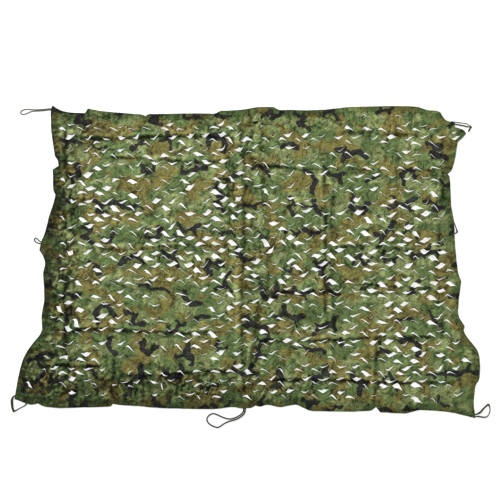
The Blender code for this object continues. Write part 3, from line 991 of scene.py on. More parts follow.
@dataclass
class Hem:
    """The cloth's rim, read from the CAD cloth and rounded, and the band of doubled cloth inside it."""

    width: float = 30.0
    point_spacing: float = 9.0
    sharp_turn: float = 38.0  # degrees; a rim corner that turns more than this stays sharp
    waver: float = 0.9
    waver_length: float = 34.0
    under_slope: float = -0.35  # a CAD face is part of the underside when it looks down more than this

    def __post_init__(self) -> None:
        """Reads the CAD rim and works out the fine one."""
        self.coarse = self._cad_rim()
        self.fine = self._rounded(self.coarse)

    def _cad_rim(self) -> Array:
        """Follows the outer edge of the CAD cloth's underside.

        Returns:
            Its corners as rows of x and y in millimetres, anticlockwise.
        """
        cloth = bmesh.new()
        cloth.from_mesh(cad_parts[CLOTH_NODE].data)
        bmesh.ops.remove_doubles(cloth, verts=cloth.verts, dist=1e-5)
        cloth.normal_update()
        under = {face.index for face in cloth.faces if face.normal.z < self.under_slope}
        links: dict[int, list[int]] = {}
        for edge in cloth.edges:
            if sum(face.index in under for face in edge.link_faces) == 1:
                a, b = (vert.index for vert in edge.verts)
                links.setdefault(a, []).append(b)
                links.setdefault(b, []).append(a)
        cloth.verts.ensure_lookup_table()
        first = min(links, key=lambda k: cloth.verts[k].co.x)
        loop = [first, links[first][0]]
        while True:
            onward = [k for k in links[loop[-1]] if k != loop[-2]]
            if onward[0] == first:
                break
            loop.append(onward[0])
        rim = np.array([cloth.verts[k].co.xy[:] for k in loop]) / MM
        cloth.free()
        return rim if area_inside(rim) > 0.0 else rim[::-1]

    def _rounded(self, rim: Array) -> Array:
        """Draws a smooth line through the rim's corners, and a slight waver on it.

        Args:
            rim: The corners.

        Returns:
            Points about point_spacing apart.
        """
        ahead = np.roll(rim, -1, axis=0) - rim
        length = np.linalg.norm(ahead, axis=1)[:, None]
        ahead /= length
        behind = np.roll(ahead, 1, axis=0)
        turn = np.degrees(np.arccos(np.clip((ahead * behind).sum(axis=1), -1.0, 1.0)))
        mean = ahead + behind
        mean /= np.maximum(np.linalg.norm(mean, axis=1), 1e-9)[:, None]
        sharp = (turn > self.sharp_turn)[:, None]
        leaving, arriving = np.where(sharp, ahead, mean), np.where(sharp, behind, mean)
        points = []
        for k, start in enumerate(rim):
            after = (k + 1) % len(rim)
            pieces = max(1, round(float(length[k, 0]) / self.point_spacing))
            for piece in range(pieces):
                t = piece / pieces
                points.append(
                    (1 + 2 * t) * (1 - t) ** 2 * start
                    + t * (1 - t) ** 2 * length[k] * leaving[k]
                    + t * t * (3 - 2 * t) * rim[after]
                    - t * t * (1 - t) * length[k] * arriving[after]
                )
        points = np.array(points)
        swing = Ripple(Seed.RIM)(*points.T, self.waver_length) * self.waver
        return points + self.inward(points) * swing[:, None]

    def depth(self, points: Array) -> Array:
        """How far inside the rim each point lies, negative outside it."""
        return depth_inside(points, self.coarse)

    @staticmethod
    def inward(line: Array) -> Array:
        """Works out the way into the cloth.

        Args:
            line: A closed anticlockwise line's points, as rows of x and y.

        Returns:
            The direction at each of them.
        """
        along = np.roll(line, -1, axis=0) - np.roll(line, 1, axis=0)
        return np.column_stack((-along[:, 1], along[:, 0])) / np.linalg.norm(along, axis=1)[:, None]


@dataclass
class SlitRows:
    """The rows of cuts: V cuts and upturned cuts take turns, on an even pitch."""

    hem: Hem
    pitch_across: float = 84.0
    pitch_down: float = 64.0
    start: Pair = (-1138.0, -663.0)
    columns: int = 28
    rows: int = 23
    upturned_drop: float = 3.0
    row_wave: float = 8.0
    wave_up: float = 190.0
    wave_across: float = 230.0
    stray: float = 3.0
    margin: float = 50.0
    middle: float = 15.0  # a cut's middle lies this far from its lowest point or crest
    opening_least: float = 0.3
    opening_most: float = 27.0
    shut_below: float = 1.3
    parted: float = 0.9  # how much further than worked out a slit gapes, unless it lies shut
    opening_base: float = 6.0
    widening: float = 1.5
    own_least: float = 0.1  # what each slit makes of the opening around it, from the least
    own_range: float = 2.6
    own_power: float = 2.4  # the higher, the fewer gape wide
    held_shut: float = 0.6  # what the cloth's stiffness takes off each opening
    fold_pull: float = 11.0  # and what a tall level fold adds to those along it
    fold_reach: float = 24.0
    tall_fold: float = 19.0
    level_slope: float = 0.2  # a fold that rises less than this share of its run is level
    pulled_turn: float = 0.17
    wide_turn: float = 0.02
    turn_spread: float = 0.15
    skews: Pair = (-0.08, 0.2)
    slim_left: Pair = (0.25, 1.1)  # the arms' lengths beside a barely open slit
    slim_right: Pair = (0.7, 1.12)
    wide_left: Pair = (0.9, 1.32)  # and beside a wide one
    wide_right: Pair = (0.92, 1.18)
    crushed_turn: float = 0.24
    crushed_skews: Pair = (-0.15, 0.15)
    crushed_left: Pair = (-0.1, 0.4)  # what crushing takes off the arms
    crushed_right: Pair = (0.0, 0.35)
    wide_from: float = 15.0  # from this opening on, a gap reaches to both ends of its cut and lies level
    seed: int = 7

    def cuts(self) -> list[Cut]:
        """Works out the cuts of the whole net.

        Returns:
            Every cut that lies far enough inside the rim.
        """
        rng, lean = random.Random(self.seed), random.Random(self.seed + 1)
        made = []
        for row, column, kind in product(range(self.rows), range(self.columns), CutKind):
            half = kind is CutKind.UPTURNED
            x = self.start[0] + (column + 0.5 * half) * self.pitch_across
            y = self.start[1] + row * self.pitch_down - self.upturned_drop * half
            x += self.row_wave * math.sin(y / self.wave_up) + rng.uniform(-self.stray, self.stray)
            y += self.row_wave * math.sin(x / self.wave_across + 1.0) + rng.uniform(-self.stray, self.stray)
            made.append(self._cut(kind, x, y, rng.random(), lean))
        middles = np.array([(cut.x, cut.y + self.middle * cut.kind.way) for cut in made])
        depths = self.hem.depth(middles)
        return [cut for cut, depth in zip(made, depths) if depth > self.margin] + CORNER_CUTS

    def _cut(self, kind: CutKind, x: float, y: float, luck: float, lean: random.Random) -> Cut:
        """Works out one cut.

        Args:
            kind: Its shape.
            x: The x of its lowest point or crest.
            y: The y there.
            luck: Where it stands among those around it, from 0 for shut to 1 for wide.
            lean: What draws its turn, skew and shares.

        Returns:
            The cut.
        """
        own_share = self.own_least + self.own_range * luck ** self.own_power
        pulled = self.fold_pull * self.drawn_by_fold(kind, x, y)
        opening = self.widening * self.opening_at(x, y) * own_share - self.held_shut + pulled
        if opening > self.shut_below:
            opening = min(opening + self.parted, self.opening_most)
        else:
            opening = self.opening_least
        wide = min(opening / self.wide_from, 1.0)
        crush = float(crushed(np.array([(x, y)]))[0])
        turn, skew = lean.gauss(0.0, self.turn_spread), lean.uniform(*self.skews)
        turn -= kind.way * (self.pulled_turn * pulled / self.fold_pull + self.wide_turn * wide)
        left_share = (1.0 - wide) * lean.uniform(*self.slim_left) + wide * lean.uniform(*self.wide_left)
        right_share = (1.0 - wide) * lean.uniform(*self.slim_right) + wide * lean.uniform(*self.wide_right)
        turn += crush * lean.gauss(0.0, self.crushed_turn)
        skew += crush * lean.uniform(*self.crushed_skews)
        left_share *= 1.0 - crush * lean.uniform(*self.crushed_left)
        right_share *= 1.0 - crush * lean.uniform(*self.crushed_right)
        return Cut(kind, x, y, opening, turn, skew, left_share, right_share)

    def drawn_by_fold(self, kind: CutKind, x: float, y: float) -> float:
        """Works out how strongly a level fold draws a cut beside it open, and flat against it.

        Args:
            kind: The cut's shape.
            x: The x of its lowest point or crest.
            y: The y there.

        Returns:
            The strength, from 0 to 1.
        """
        most = 0.0
        for fold in FOLDS:
            share = (x - fold.x0) / (fold.x1 - fold.x0)
            level = abs(fold.y1 - fold.y0) < self.level_slope * abs(fold.x1 - fold.x0)
            if level and 0.0 < share < 1.0:
                crest = fold.y0 + share * (fold.y1 - fold.y0) + fold.bow * math.sin(2.0 * math.pi * share)
                aside = (y + kind.right[1] - crest) / self.fold_reach
                most = max(most, min(fold.rise / self.tall_fold, 1.0) * math.exp(-aside * aside))
        return most

    def opening_at(self, x: float, y: float) -> float:
        """Works out how far slits gape around a place, before each one's own share.

        Args:
            x: The place's x.
            y: Its y.

        Returns:
            The opening.
        """
        opening = self.opening_base
        for spot in SPOTS:
            distance = math.hypot(x - spot.x, y - spot.y) / spot.reach
            opening += spot.opening * math.exp(-distance * distance)
        return opening


@dataclass
class Lips:
    """The two edges of a cut: the one that stays, and the tongue's, which draws back and curls up."""

    cut: Cut
    curve: float = 1.05
    rounding: float = 0.012  # how much rounder the edge that stays is, for each millimetre of opening
    tongue_length: float = 38.0
    edge_reach: float = 4.5
    slim_taper: float = 0.62  # how soon a barely open slit's gap narrows towards its ends
    wide_taper: float = 1.35  # and a wide one's
    straight_at: float = 18.0  # the opening at which a tongue's edge runs straight from end to end
    arch_power: float = 1.8
    peaks: Pair = (0.15, 0.8)  # the gap is widest within these shares of its length
    slope_rise: float = 0.34  # how high a tongue stands at its edge, for each millimetre of its gape
    curl_rise: float = 0.36  # and what its curl adds half way to its root
    overhang: float = 3.0

    def stay(self, x: Array) -> Array:
        """Works out the edge that stays.

        Args:
            x: Places along the cut, from its lowest point or crest.

        Returns:
            The edge's level at each.
        """
        (left_x, left_y), (right_x, right_y) = self.cut.kind.left, self.cut.kind.right
        on_left, on_right = np.clip(x / left_x, 0.0, None), np.clip(x / right_x, 0.0, None)
        curve = self.curve + self.rounding * self.cut.opening
        return left_y * on_left ** curve + right_y * on_right ** curve

    def reach(self) -> Pair:
        """The x of the cut's two ends from its lowest point or crest."""
        return self.cut.kind.left[0] * self.cut.left_share, self.cut.kind.right[0] * self.cut.right_share

    def gape(self, x: Array) -> Array:
        """Works out how far the tongue's edge has drawn from the other, most near the lowest point.

        Args:
            x: Places along the cut.

        Returns:
            The gap at each.
        """
        left_x, right_x = self.reach()
        share = unit((x - left_x) / (right_x - left_x))
        peak = min(max(-left_x / (right_x - left_x) + self.cut.skew, self.peaks[0]), self.peaks[1])
        nearness = unit(np.minimum(share / peak, (1.0 - share) / (1.0 - peak)))
        wideness = min(self.cut.opening / self.straight_at, 1.0)
        taper = self.slim_taper + (self.wide_taper - self.slim_taper) * wideness
        arch = max(self.cut.opening - self.straight_at, 0.0)
        arched = arch * np.sin(0.5 * np.pi * nearness) ** self.arch_power
        return (self.cut.opening - arch) * nearness ** taper + arched

    def ring(self, steps: int) -> list[Pair]:
        """Draws the gap.

        Args:
            steps: The pieces that each edge is drawn with.

        Returns:
            The gap's corners, anticlockwise, in the net's millimetres.
        """
        x = np.linspace(*self.reach(), steps + 1)
        stay = self.stay(x)
        tongue = (stay + self.cut.kind.way * self.gape(x))[1:-1]
        edge, back = np.column_stack((x, stay)), np.column_stack((x[1:-1], tongue))
        ring = np.vstack((edge, back[::-1]))
        if self.cut.kind is CutKind.UPTURNED:
            ring = ring[::-1]
        return [self.to_net(*point) for point in ring]

    def to_net(self, x: float, y: float) -> Pair:
        """Turns a place by the cut into one of the net.

        Args:
            x: The place's x.
            y: Its y.

        Returns:
            The net's x and y.
        """
        c, s = math.cos(self.cut.turn), math.sin(self.cut.turn)
        return self.cut.x + c * x - s * y, self.cut.y + s * x + c * y

    def from_net(self, points: Array) -> tuple[Array, Array]:
        """Turns places of the net into ones by the cut.

        Args:
            points: The places.

        Returns:
            Their x and their y from the cut's lowest point or crest.
        """
        c, s = math.cos(self.cut.turn), math.sin(self.cut.turn)
        x, y = points[:, 0] - self.cut.x, points[:, 1] - self.cut.y
        return c * x + s * y, c * y - s * x

    def draw_back(self, points: Array) -> tuple[Array, Array]:
        """Works out what the tongue does to the cloth behind it.

        Args:
            points: Places of the net near the cut.

        Returns:
            How far each place has been drawn back and how high it has risen.
        """
        x, y = self.from_net(points)
        gape = self.gape(x)
        behind = self.cut.kind.way * (y - self.stay(x)) - gape
        on_tongue = (behind > -0.2) & (behind < self.tongue_length) & (gape > 0.0)
        share = unit(behind / self.tongue_length)
        drawn = np.where(on_tongue, gape * (1.0 - share), 0.0)
        risen = gape * (self.slope_rise * (1.0 - share) ** 2 + self.curl_rise * np.sin(np.pi * share))
        return drawn, np.where(on_tongue, risen, 0.0)

    def edge_nearness(self, points: Array) -> Array:
        """Works out how near places lie to one of the two edges.

        Args:
            points: Places of the net near the cut.

        Returns:
            The nearness of each, from 0 to 1.
        """
        x, y = self.from_net(points)
        gape = self.gape(x)
        past = self.cut.kind.way * (y - self.stay(x))
        aside = np.where(past > 0.5 * gape, past - gape, -past)
        near = bell(np.clip(aside, 0.0, None), self.edge_reach)
        left_x, right_x = self.reach()
        return np.where((x > left_x - self.overhang) & (x < right_x + self.overhang), near, 0.0)


@dataclass
class Relief:
    """The height of the cloth's underside: its folds, the ripples between them and its creases."""

    hem: Hem
    roots: Array
    lowest: float = 1.0
    highest: float = 30.0
    flat_below: float = 3.0
    rim_calm: float = 90.0
    root_flat: float = 45.0
    root_calm: float = 60.0
    away_from_light: Pair = (0.55, -0.83)  # folds lean, and are steep, on this side
    gentle_reach: float = 1.25
    steep_reach: float = 0.42
    soft_reach: float = 0.8  # the steep side's of an upright fold
    crease_width: float = 9.5
    crease_rise: float = 3.2
    crush_rise: float = 5.5
    pleat_rise: float = 2.4
    swell_rise: float = 3.4
    ripple_rise: float = 2.2
    fold_taper: float = 60.0  # how far from its ends a fold reaches its full height

    def height(self, points: Array, risen: Array) -> Array:
        """Works out the relief.

        Args:
            points: Places of the net.
            risen: How far the tongues there have curled up.

        Returns:
            The height over the surface at each.
        """
        x, y = points.T
        depth = self.hem.depth(points)
        across = np.sin(x / 33.0 + 1.4 * np.sin(y / 71.0))
        down = np.sin(y / 29.0 + 1.1 * np.sin(x / 64.0))
        height = 2.0 + self.swell_rise * across * down + self.ripple_rise * np.sin(x / 19.0 + y / 23.0)
        for fold in FOLDS:
            height += self._ridge(fold, points)
        inland = unit(depth / self.rim_calm)
        height *= 0.45 + 0.55 * inland
        creases = self.crease_rise + self.crush_rise * crushed(points)
        height += creases * self._crinkles(points) * (0.35 + 0.65 * inland)
        height += self._pleats(points, depth)
        from_root = np.full(len(points), np.inf)
        for root in self.roots:
            from_root = np.minimum(from_root, np.linalg.norm(points - root, axis=1))
        height *= unit((from_root - self.root_flat) / self.root_calm)
        settled = np.logaddexp(0.0, (height - self.flat_below) / 1.2) * 1.2 + risen
        return self.lowest + self._capped(settled)

    def _capped(self, height: Array) -> Array:
        """Keeps the height under the highest, softly."""
        return height - 2.5 * np.logaddexp(0.0, (height - self.highest) / 2.5)

    def _ridge(self, fold: Fold, points: Array) -> Array:
        """Works out a fold's own height.

        Args:
            fold: The fold.
            points: Places of the net.

        Returns:
            A ridge that is uneven along it, tapers out, and is steep on the side away from the light.
        """
        strength, lee = self._by_fold(fold, points)
        steep = self.soft_reach if fold.upright else self.steep_reach
        lee = lee + steep * fold.half_width
        reach = np.where(lee > 0.0, steep, self.gentle_reach) * fold.half_width
        return fold.rise * strength * np.exp(-np.abs(lee / reach) ** 1.4)

    def _by_fold(self, fold: Fold, points: Array) -> tuple[Array, Array]:
        """Works out where points lie by a fold.

        Args:
            fold: The fold.
            points: Places of the net.

        Returns:
            How strong the fold is beside each point, and how far the point lies on its steep side.
        """
        x, y = points.T
        length = math.hypot(fold.x1 - fold.x0, fold.y1 - fold.y0)
        run = ((fold.x1 - fold.x0) / length, (fold.y1 - fold.y0) / length)
        along = ((x - fold.x0) * run[0] + (y - fold.y0) * run[1]) / length
        aside = -(x - fold.x0) * run[1] + (y - fold.y0) * run[0]
        aside = aside - fold.bow * np.sin(2 * np.pi * along)
        lee = math.copysign(1.0, -run[1] * self.away_from_light[0] + run[0] * self.away_from_light[1])
        taper = unit(np.minimum(along, 1 - along) * length / self.fold_taper)
        uneven = 0.8 + 0.28 * np.sin(along * length / 41.0 + fold.x0)
        return taper * uneven, aside * lee

    def crease_shade(self, points: Array) -> Array:
        """Works out the dark creases at the folds' steep feet.

        Args:
            points: Places of the net.

        Returns:
            How deep in a crease each lies, from 0 to about 1.
        """
        total = np.zeros(len(points))
        broken = np.clip(0.6 + 1.3 * Ripple(Seed.BROKEN_CREASES)(*points.T, 42.0), 0.0, 1.15)
        for fold in FOLDS:
            strength, lee = self._by_fold(fold, points)
            width = np.where(lee < 0.0, 1.05, 0.7) * self.crease_width
            depth = bell(lee, width) * broken
            total = np.maximum(total, np.clip(fold.rise / 18.0, 0.0, 1.1) * fold.shade * strength * depth)
        return total

    @staticmethod
    def _crinkles(points: Array) -> Array:
        """Works out small sharp creases that run mainly four ways, each way in its own patches.

        Args:
            points: Places of the net.

        Returns:
            The creases, from about -0.3 to 1.
        """
        x, y = points.T
        total = np.zeros_like(x)
        ways = ((0.2, 30.0, 95.0), (1.35, 27.0, 80.0), (0.8, 25.0, 62.0), (2.3, 24.0, 66.0))
        for number, (turn, across, along) in enumerate(ways):
            seed = Seed.CRINKLES + 3 * number
            c, s = math.cos(turn), math.sin(turn)
            bend = 16.0 * Ripple(seed + 1)(x, y, 90.0)
            u, v = (y * c - x * s + bend) / across, (x * c + y * s) / along
            sharp = unit(1.0 - 2.4 * np.abs(Ripple(seed)(u, v))) ** 1.6
            patch = unit(0.45 + 1.5 * Ripple(seed + 2)(x, y, 130.0))
            total += sharp * patch
        return 0.8 * total - 0.25

    def _pleats(self, points: Array, depth: Array) -> Array:
        """Works out the gathers that the hem's stitching draws up, square to the rim.

        Args:
            points: Places of the net.
            depth: Their distance inside the rim.

        Returns:
            The gathers' height.
        """
        gathers = square_to_rim(points, Seed.PLEATS, across=11.0, along=70.0)
        reach = bell(depth - 24.0, 30.0) + 0.5 * bell(depth - 70.0, 45.0)
        return self.pleat_rise * reach * (0.5 + 1.7 * gathers)


@dataclass(frozen=True)
class Stroke:
    """One line of a mark, and half its width."""

    half_width: float
    points: tuple[Pair, ...]


MARKS: tuple[tuple[Stroke, ...], ...] = (
    (Stroke(11, ((-58, 14), (-24, -2), (12, 4), (50, -14))), Stroke(9, ((12, 4), (34, 30)))),
    (Stroke(12, ((-42, 30), (-34, -8), (-4, -26), (36, -22))),),
    (
        Stroke(11, ((-50, -16), (-18, -12), (8, 14), (42, 18))),
        Stroke(9, ((-18, -12), (-6, -40))),
        Stroke(8, ((42, 18), (56, -8))),
    ),
    (Stroke(10, ((-74, 6), (-38, 14), (-6, -6), (30, 8), (68, -4))),),
    (
        Stroke(12, ((-6, 44), (0, 6))),
        Stroke(11, ((0, 6), (-30, -20))),
        Stroke(10, ((0, 6), (28, -12), (36, -38))),
    ),
    (Stroke(11, ((-44, 28), (2, 18), (-22, -14), (30, -26))),),
    (Stroke(12, ((-38, 26), (-36, -10), (-8, -24), (22, -14), (26, 30))),),
    (Stroke(10, ((-34, 4), (4, -6), (34, 2))),),
    (
        Stroke(10, ((-60, -10), (-20, 6), (20, -2), (54, 12))),
        Stroke(9, ((-20, 6), (-34, 34))),
        Stroke(8, ((20, -2), (30, -32))),
    ),
)


@dataclass
class PrintMarks:
    """The black marks of the print: a few branching shapes, strewn, turned and bent."""

    rows: tuple[int, int] = (-6, 7)
    columns: tuple[int, int] = (-8, 8)
    pitch: Pair = (186.0, 146.0)
    stray: Pair = (46.0, 40.0)
    sizes: Pair = (0.72, 1.35)
    left_out: float = 0.12
    reach: float = 130.0
    seed: int = 23

    def strength(self, places: Array) -> Array:
        """Works out the marks on the cloth.

        Args:
            places: Places of the flat cloth.

        Returns:
            Over a half inside a mark and under it outside, crossing a half at its edge.
        """
        x, y = places.T
        wander, swell = Ripple(Seed.MARK_EDGES), Ripple(Seed.MARK_WIDTHS)
        bent = places + 9.0 * np.column_stack((wander(x, y, 36.0), wander(y + 900.0, x, 36.0)))
        bent += 5.0 * np.column_stack((wander(x, y + 500.0, 15.0), wander(y, x + 700.0, 15.0)))
        fatness = 1.0 + 0.6 * swell(x, y, 27.0)
        inside = np.full(len(places), -1e3)
        for middle, turn, size, strokes in self._strewn():
            near = np.flatnonzero(np.abs(bent - middle).max(axis=1) < self.reach)
            if not len(near):
                continue
            c, s = math.cos(turn), math.sin(turn)
            local = (bent[near] - middle) @ np.array(((c, -s), (s, c))) / size
            for stroke in strokes:
                for start, end in zip(stroke.points, stroke.points[1:]):
                    distance = self._from_line(local, np.array(start), np.array(end))
                    depth = (stroke.half_width * fatness[near] - distance) * size
                    inside[near] = np.maximum(inside[near], depth)
        return unit(0.5 + inside / 40.0)

    def _strewn(self) -> list[tuple[Array, float, float, tuple[Stroke, ...]]]:
        """Strews the marks.

        Returns:
            Each mark's middle, turn, size and strokes.
        """
        rng = random.Random(self.seed)
        strewn = []
        for row, column in product(range(*self.rows), range(*self.columns)):
            x = (column + 0.5 * (row % 2)) * self.pitch[0] + rng.uniform(-self.stray[0], self.stray[0])
            y = row * self.pitch[1] + rng.uniform(-self.stray[1], self.stray[1])
            turn, size = rng.gauss(0.0, 0.5) + math.pi * rng.randrange(2), rng.uniform(*self.sizes)
            strokes, left_out = rng.choice(MARKS), rng.random() < self.left_out
            if not left_out:
                strewn.append((np.array((x, y)), turn, size, strokes))
        return strewn

    @staticmethod
    def _from_line(points: Array, start: Array, end: Array) -> Array:
        """Measures how far points lie from a straight line.

        Args:
            points: The points.
            start: The line's one end.
            end: Its other end.

        Returns:
            Each point's distance.
        """
        run = end - start
        share = unit((points - start) @ run / (run @ run))
        return np.linalg.norm(points - start - share[:, None] * run, axis=1)


@dataclass
class NetCloth:
    """The printed cloth: a thin sheet with every slit cut, drawn back and laid over its folds."""

    hem: Hem
    relief: Relief
    finish: CamouflageFinish
    point_spacing: float = 9.9
    lip_steps: int = 8
    thickness: float = 0.9
    hem_thickness: float = 2.6
    smooth_below: float = 55.0
    cut_reach: Pair = (60.0, 110.0)  # a cut changes nothing further away than this
    wander_wide: float = 8.0
    wander_fine: float = 6.0
    hollow_shade: float = 0.14  # for each millimetre that a point lies under those around it
    crush_shade: float = 0.2
    dent_shade: float = 0.28
    lip_shade: float = 0.15
    rim_shade: float = 0.2
    fold_shade: float = 0.78
    seam_shade: float = 0.14
    seam_width: float = 6.0
    rim_reach: float = 55.0
    patch_shade: float = 0.03
    fleck_shade: float = 0.04
    painted_shade_limits: Pair = (0.16, 1.3)  # the darkest and the lightest of the painted shade and tone
    painted_light_rightward: float = 0.00007  # painted light: the cloth is painted this much lighter for each millimetre to the right

    def build(self) -> Object:
        """Builds the cloth.

        Returns:
            The finished piece.
        """
        cuts = SlitRows(self.hem).cuts()
        places, faces = self._flat_sheet(cuts)
        drawn, risen, lips = self._tongues(cuts, places)
        flat = places - drawn
        places = places + self._wander(places)
        height = self.relief.height(places, risen)
        cloth = mesh_object("camouflage_sheet", np.column_stack((places, height)), faces)
        self._lay_print(cloth.data, flat)
        self._lay_shades(cloth.data, places, height, lips)
        self._thicken(cloth, places)
        LOG.info("%d slits", len(cuts))
        return settle(cloth, self.finish.material(), (CLOTH_NODE,))

    def _flat_sheet(self, cuts: list[Cut]) -> tuple[Array, Faces]:
        """Triangulates the sheet between its rim and its gaps.

        Args:
            cuts: The cuts.

        Returns:
            Its points, and its triangles by number.
        """
        rim = [tuple(point) for point in self.hem.fine]
        points, rings = list(rim), [list(range(len(rim)))]
        for cut in cuts:
            ring = Lips(cut).ring(self.lip_steps)
            rings.append(list(range(len(points), len(points) + len(ring))))
            points += ring
        near = KDTree(len(points))
        for k, (x, y) in enumerate(points):
            near.insert((x, y, 0.0), k)
        near.balance()
        low, high = self.hem.fine.min(axis=0), self.hem.fine.max(axis=0)
        step_down = self.point_spacing * math.sqrt(0.75)
        grid = []
        for row in range(int((high[1] - low[1]) / step_down)):
            for column in range(int((high[0] - low[0]) / self.point_spacing)):
                x = low[0] + (column + 0.5 * (row % 2)) * self.point_spacing
                y = low[1] + row * step_down
                if near.find((x, y, 0.0))[2] > 0.52 * self.point_spacing:
                    grid.append((x, y))
        grid = np.array(grid)
        grid = grid[self.hem.depth(grid) > 0.4 * self.point_spacing]
        points += [tuple(point) for point in grid]
        flat = geometry.delaunay_2d_cdt([Vector(p) for p in points], [], rings, 2, 1e-6)
        faces = [list(face) for face in flat[2]]
        used = sorted({k for face in faces for k in face})
        number = {old: new for new, old in enumerate(used)}
        places = np.array([flat[0][k][:] for k in used])
        return places, [[number[k] for k in face] for face in faces]

    def _wander(self, places: Array) -> Array:
        """Works out how far crumpling has shifted the cloth inside its hem.

        Args:
            places: The sheet's points.

        Returns:
            Each point's shift, as x and y.
        """
        x, y = places.T
        inland = unit((self.hem.depth(places) - self.hem.width) / 40.0)
        crush = 0.7 + 0.8 * crushed(places)
        shifts = []
        for axis in (0, 1):
            wide = Ripple(Seed.WANDER_WIDE + axis)(x, y, 95.0)
            fine = Ripple(Seed.WANDER_FINE + axis)(x, y, 42.0)
            shifts.append(self.wander_wide * wide + self.wander_fine * crush * fine)
        return inland[:, None] * np.column_stack(shifts)

    def _tongues(self, cuts: list[Cut], places: Array) -> tuple[Array, Array, Array]:
        """Draws back each tongue.

        Args:
            cuts: The cuts.
            places: The sheet's points.

        Returns:
            How far each point is drawn back, as x and y, how high it rises, and how near a slit's edge it is.
        """
        order = np.argsort(places[:, 0])
        sorted_x = places[order, 0]
        drawn, risen, lips = np.zeros_like(places), np.zeros(len(places)), np.zeros(len(places))
        for cut in cuts:
            low, high = np.searchsorted(sorted_x, (cut.x - self.cut_reach[0], cut.x + self.cut_reach[0]))
            near = order[low:high]
            near = near[np.abs(places[near, 1] - cut.y) < self.cut_reach[1]]
            edges = Lips(cut)
            back, up = edges.draw_back(places[near])
            drawn[near, 1] += back * cut.kind.way
            risen[near] += up
            lips[near] = np.maximum(lips[near], edges.edge_nearness(places[near]))
        return drawn, risen, lips

    @staticmethod
    def _lay_print(mesh: bpy.types.Mesh, flat: Array) -> None:
        """Gives the sheet its flat coordinates and its black marks.

        Args:
            mesh: The sheet's mesh.
            flat: Each point's place on the flat cloth.
        """
        layer = mesh.uv_layers.new(name="flat_cloth")
        corners = np.empty(len(mesh.loops), dtype=np.int64)
        mesh.loops.foreach_get("vertex_index", corners)
        layer.data.foreach_set("uv", (flat[corners] * MM).ravel())
        marks = mesh.attributes.new("black_mark", "FLOAT", "POINT")
        marks.data.foreach_set("value", PrintMarks().strength(flat))

    def _lay_shades(self, mesh: bpy.types.Mesh, places: Array, height: Array, lips: Array) -> None:
        """Gives the sheet its hem band, and its painted shade, deeper in hollows and where it is crushed,
        with random tone.

        Args:
            mesh: The sheet's mesh.
            places: The points' places.
            height: Their heights.
            lips: How near a slit's edge they are.
        """
        depth = self.hem.depth(places)
        band = unit((1.15 * self.hem.width - depth) / (0.35 * self.hem.width))
        band *= unit(0.6 + 0.6 * np.exp(-depth / 8.0))
        mesh.attributes.new("hem", "FLOAT", "POINT").data.foreach_set("value", band)
        edges = np.empty(2 * len(mesh.edges), dtype=np.int64)
        mesh.edges.foreach_get("vertices", edges)
        a, b = edges.reshape(-1, 2).T
        links = np.bincount(a, minlength=len(places)) + np.bincount(b, minlength=len(places))
        around = height
        for _ in range(2):
            total = np.bincount(a, around[b], len(places)) + np.bincount(b, around[a], len(places))
            around = total / np.maximum(links, 1)
        hollow = np.clip(around - height, -3.0, 3.0)
        x, y = places.T
        crush = crushed(places)
        # Painted shade: darker in hollows, crushed cloth and dents, by the rim, at the folds' feet, along the
        # seam and by the slits' edges; the patches and flecks are random tone.
        painted_shade_and_tone = 1.0 - self.hollow_shade * hollow - self.crush_shade * crush
        painted_shade_and_tone -= self.dent_shade * (0.3 + 0.7 * crush) * self._dents(places, depth)
        top = unit((y - 450.0) / 250.0)
        painted_shade_and_tone -= self.rim_shade * (1.0 - x / 2600.0 - 0.45 * top) * np.exp(-depth / self.rim_reach)
        painted_shade_and_tone += self.painted_light_rightward * x
        painted_shade_and_tone -= self.fold_shade * self.relief.crease_shade(places)
        painted_shade_and_tone -= self.seam_shade * bell(depth - self.hem.width, self.seam_width)
        painted_shade_and_tone += self.patch_shade * Ripple(Seed.PATCHES)(x, y, 120.0)
        painted_shade_and_tone += self.fleck_shade * Ripple(Seed.FLECKS)(x, y, 38.0)
        painted_shade_and_tone = np.clip(painted_shade_and_tone - self.lip_shade * lips, *self.painted_shade_limits)
        mesh.attributes.new("painted_shade_and_tone", "FLOAT", "POINT").data.foreach_set("value", painted_shade_and_tone)

    @staticmethod
    def _dents(places: Array, depth: Array) -> Array:
        """Works out the painted shade of short dents: slanting in the open cloth, and square to the rim by
        the hem.

        Args:
            places: The points' places.
            depth: Their distance inside the rim.

        Returns:
            How deep each point lies in a dent, from 0 to 1.
        """
        x, y = places.T
        square = square_to_rim(places, Seed.DENTS, across=15.0, along=60.0)
        slanting = Ripple(Seed.SLANTING_DENTS)((x + 0.5 * y) / 44.0, (y - 0.4 * x) / 17.0)
        rising = Ripple(Seed.RISING_DENTS)((x - 0.7 * y) / 44.0, (y + 0.6 * x) / 19.0)
        near_hem = np.exp(-depth / 70.0)
        free = np.maximum(slanting, rising)
        return unit(3.0 * (near_hem * square + (1.0 - near_hem) * free) - 0.35)

    def _thicken(self, cloth: Object, places: Array) -> None:
        """Gives the sheet its thickness, doubled in the hem.

        Args:
            cloth: The sheet.
            places: Its points.
        """
        depth = self.hem.depth(places)
        band = cloth.vertex_groups.new(name="hem_band")
        band.add(np.flatnonzero(depth < self.hem.width).tolist(), 1.0, "REPLACE")
        thick = cloth.modifiers.new("Thickness", "SOLIDIFY")
        thick.thickness = self.hem_thickness * MM
        thick.vertex_group = band.name
        thick.thickness_vertex_group = self.thickness / self.hem_thickness
        thick.offset = 1.0
        bpy.ops.object.modifier_apply(modifier=thick.name)
        bpy.ops.object.shade_smooth_by_angle(angle=math.radians(self.smooth_below))


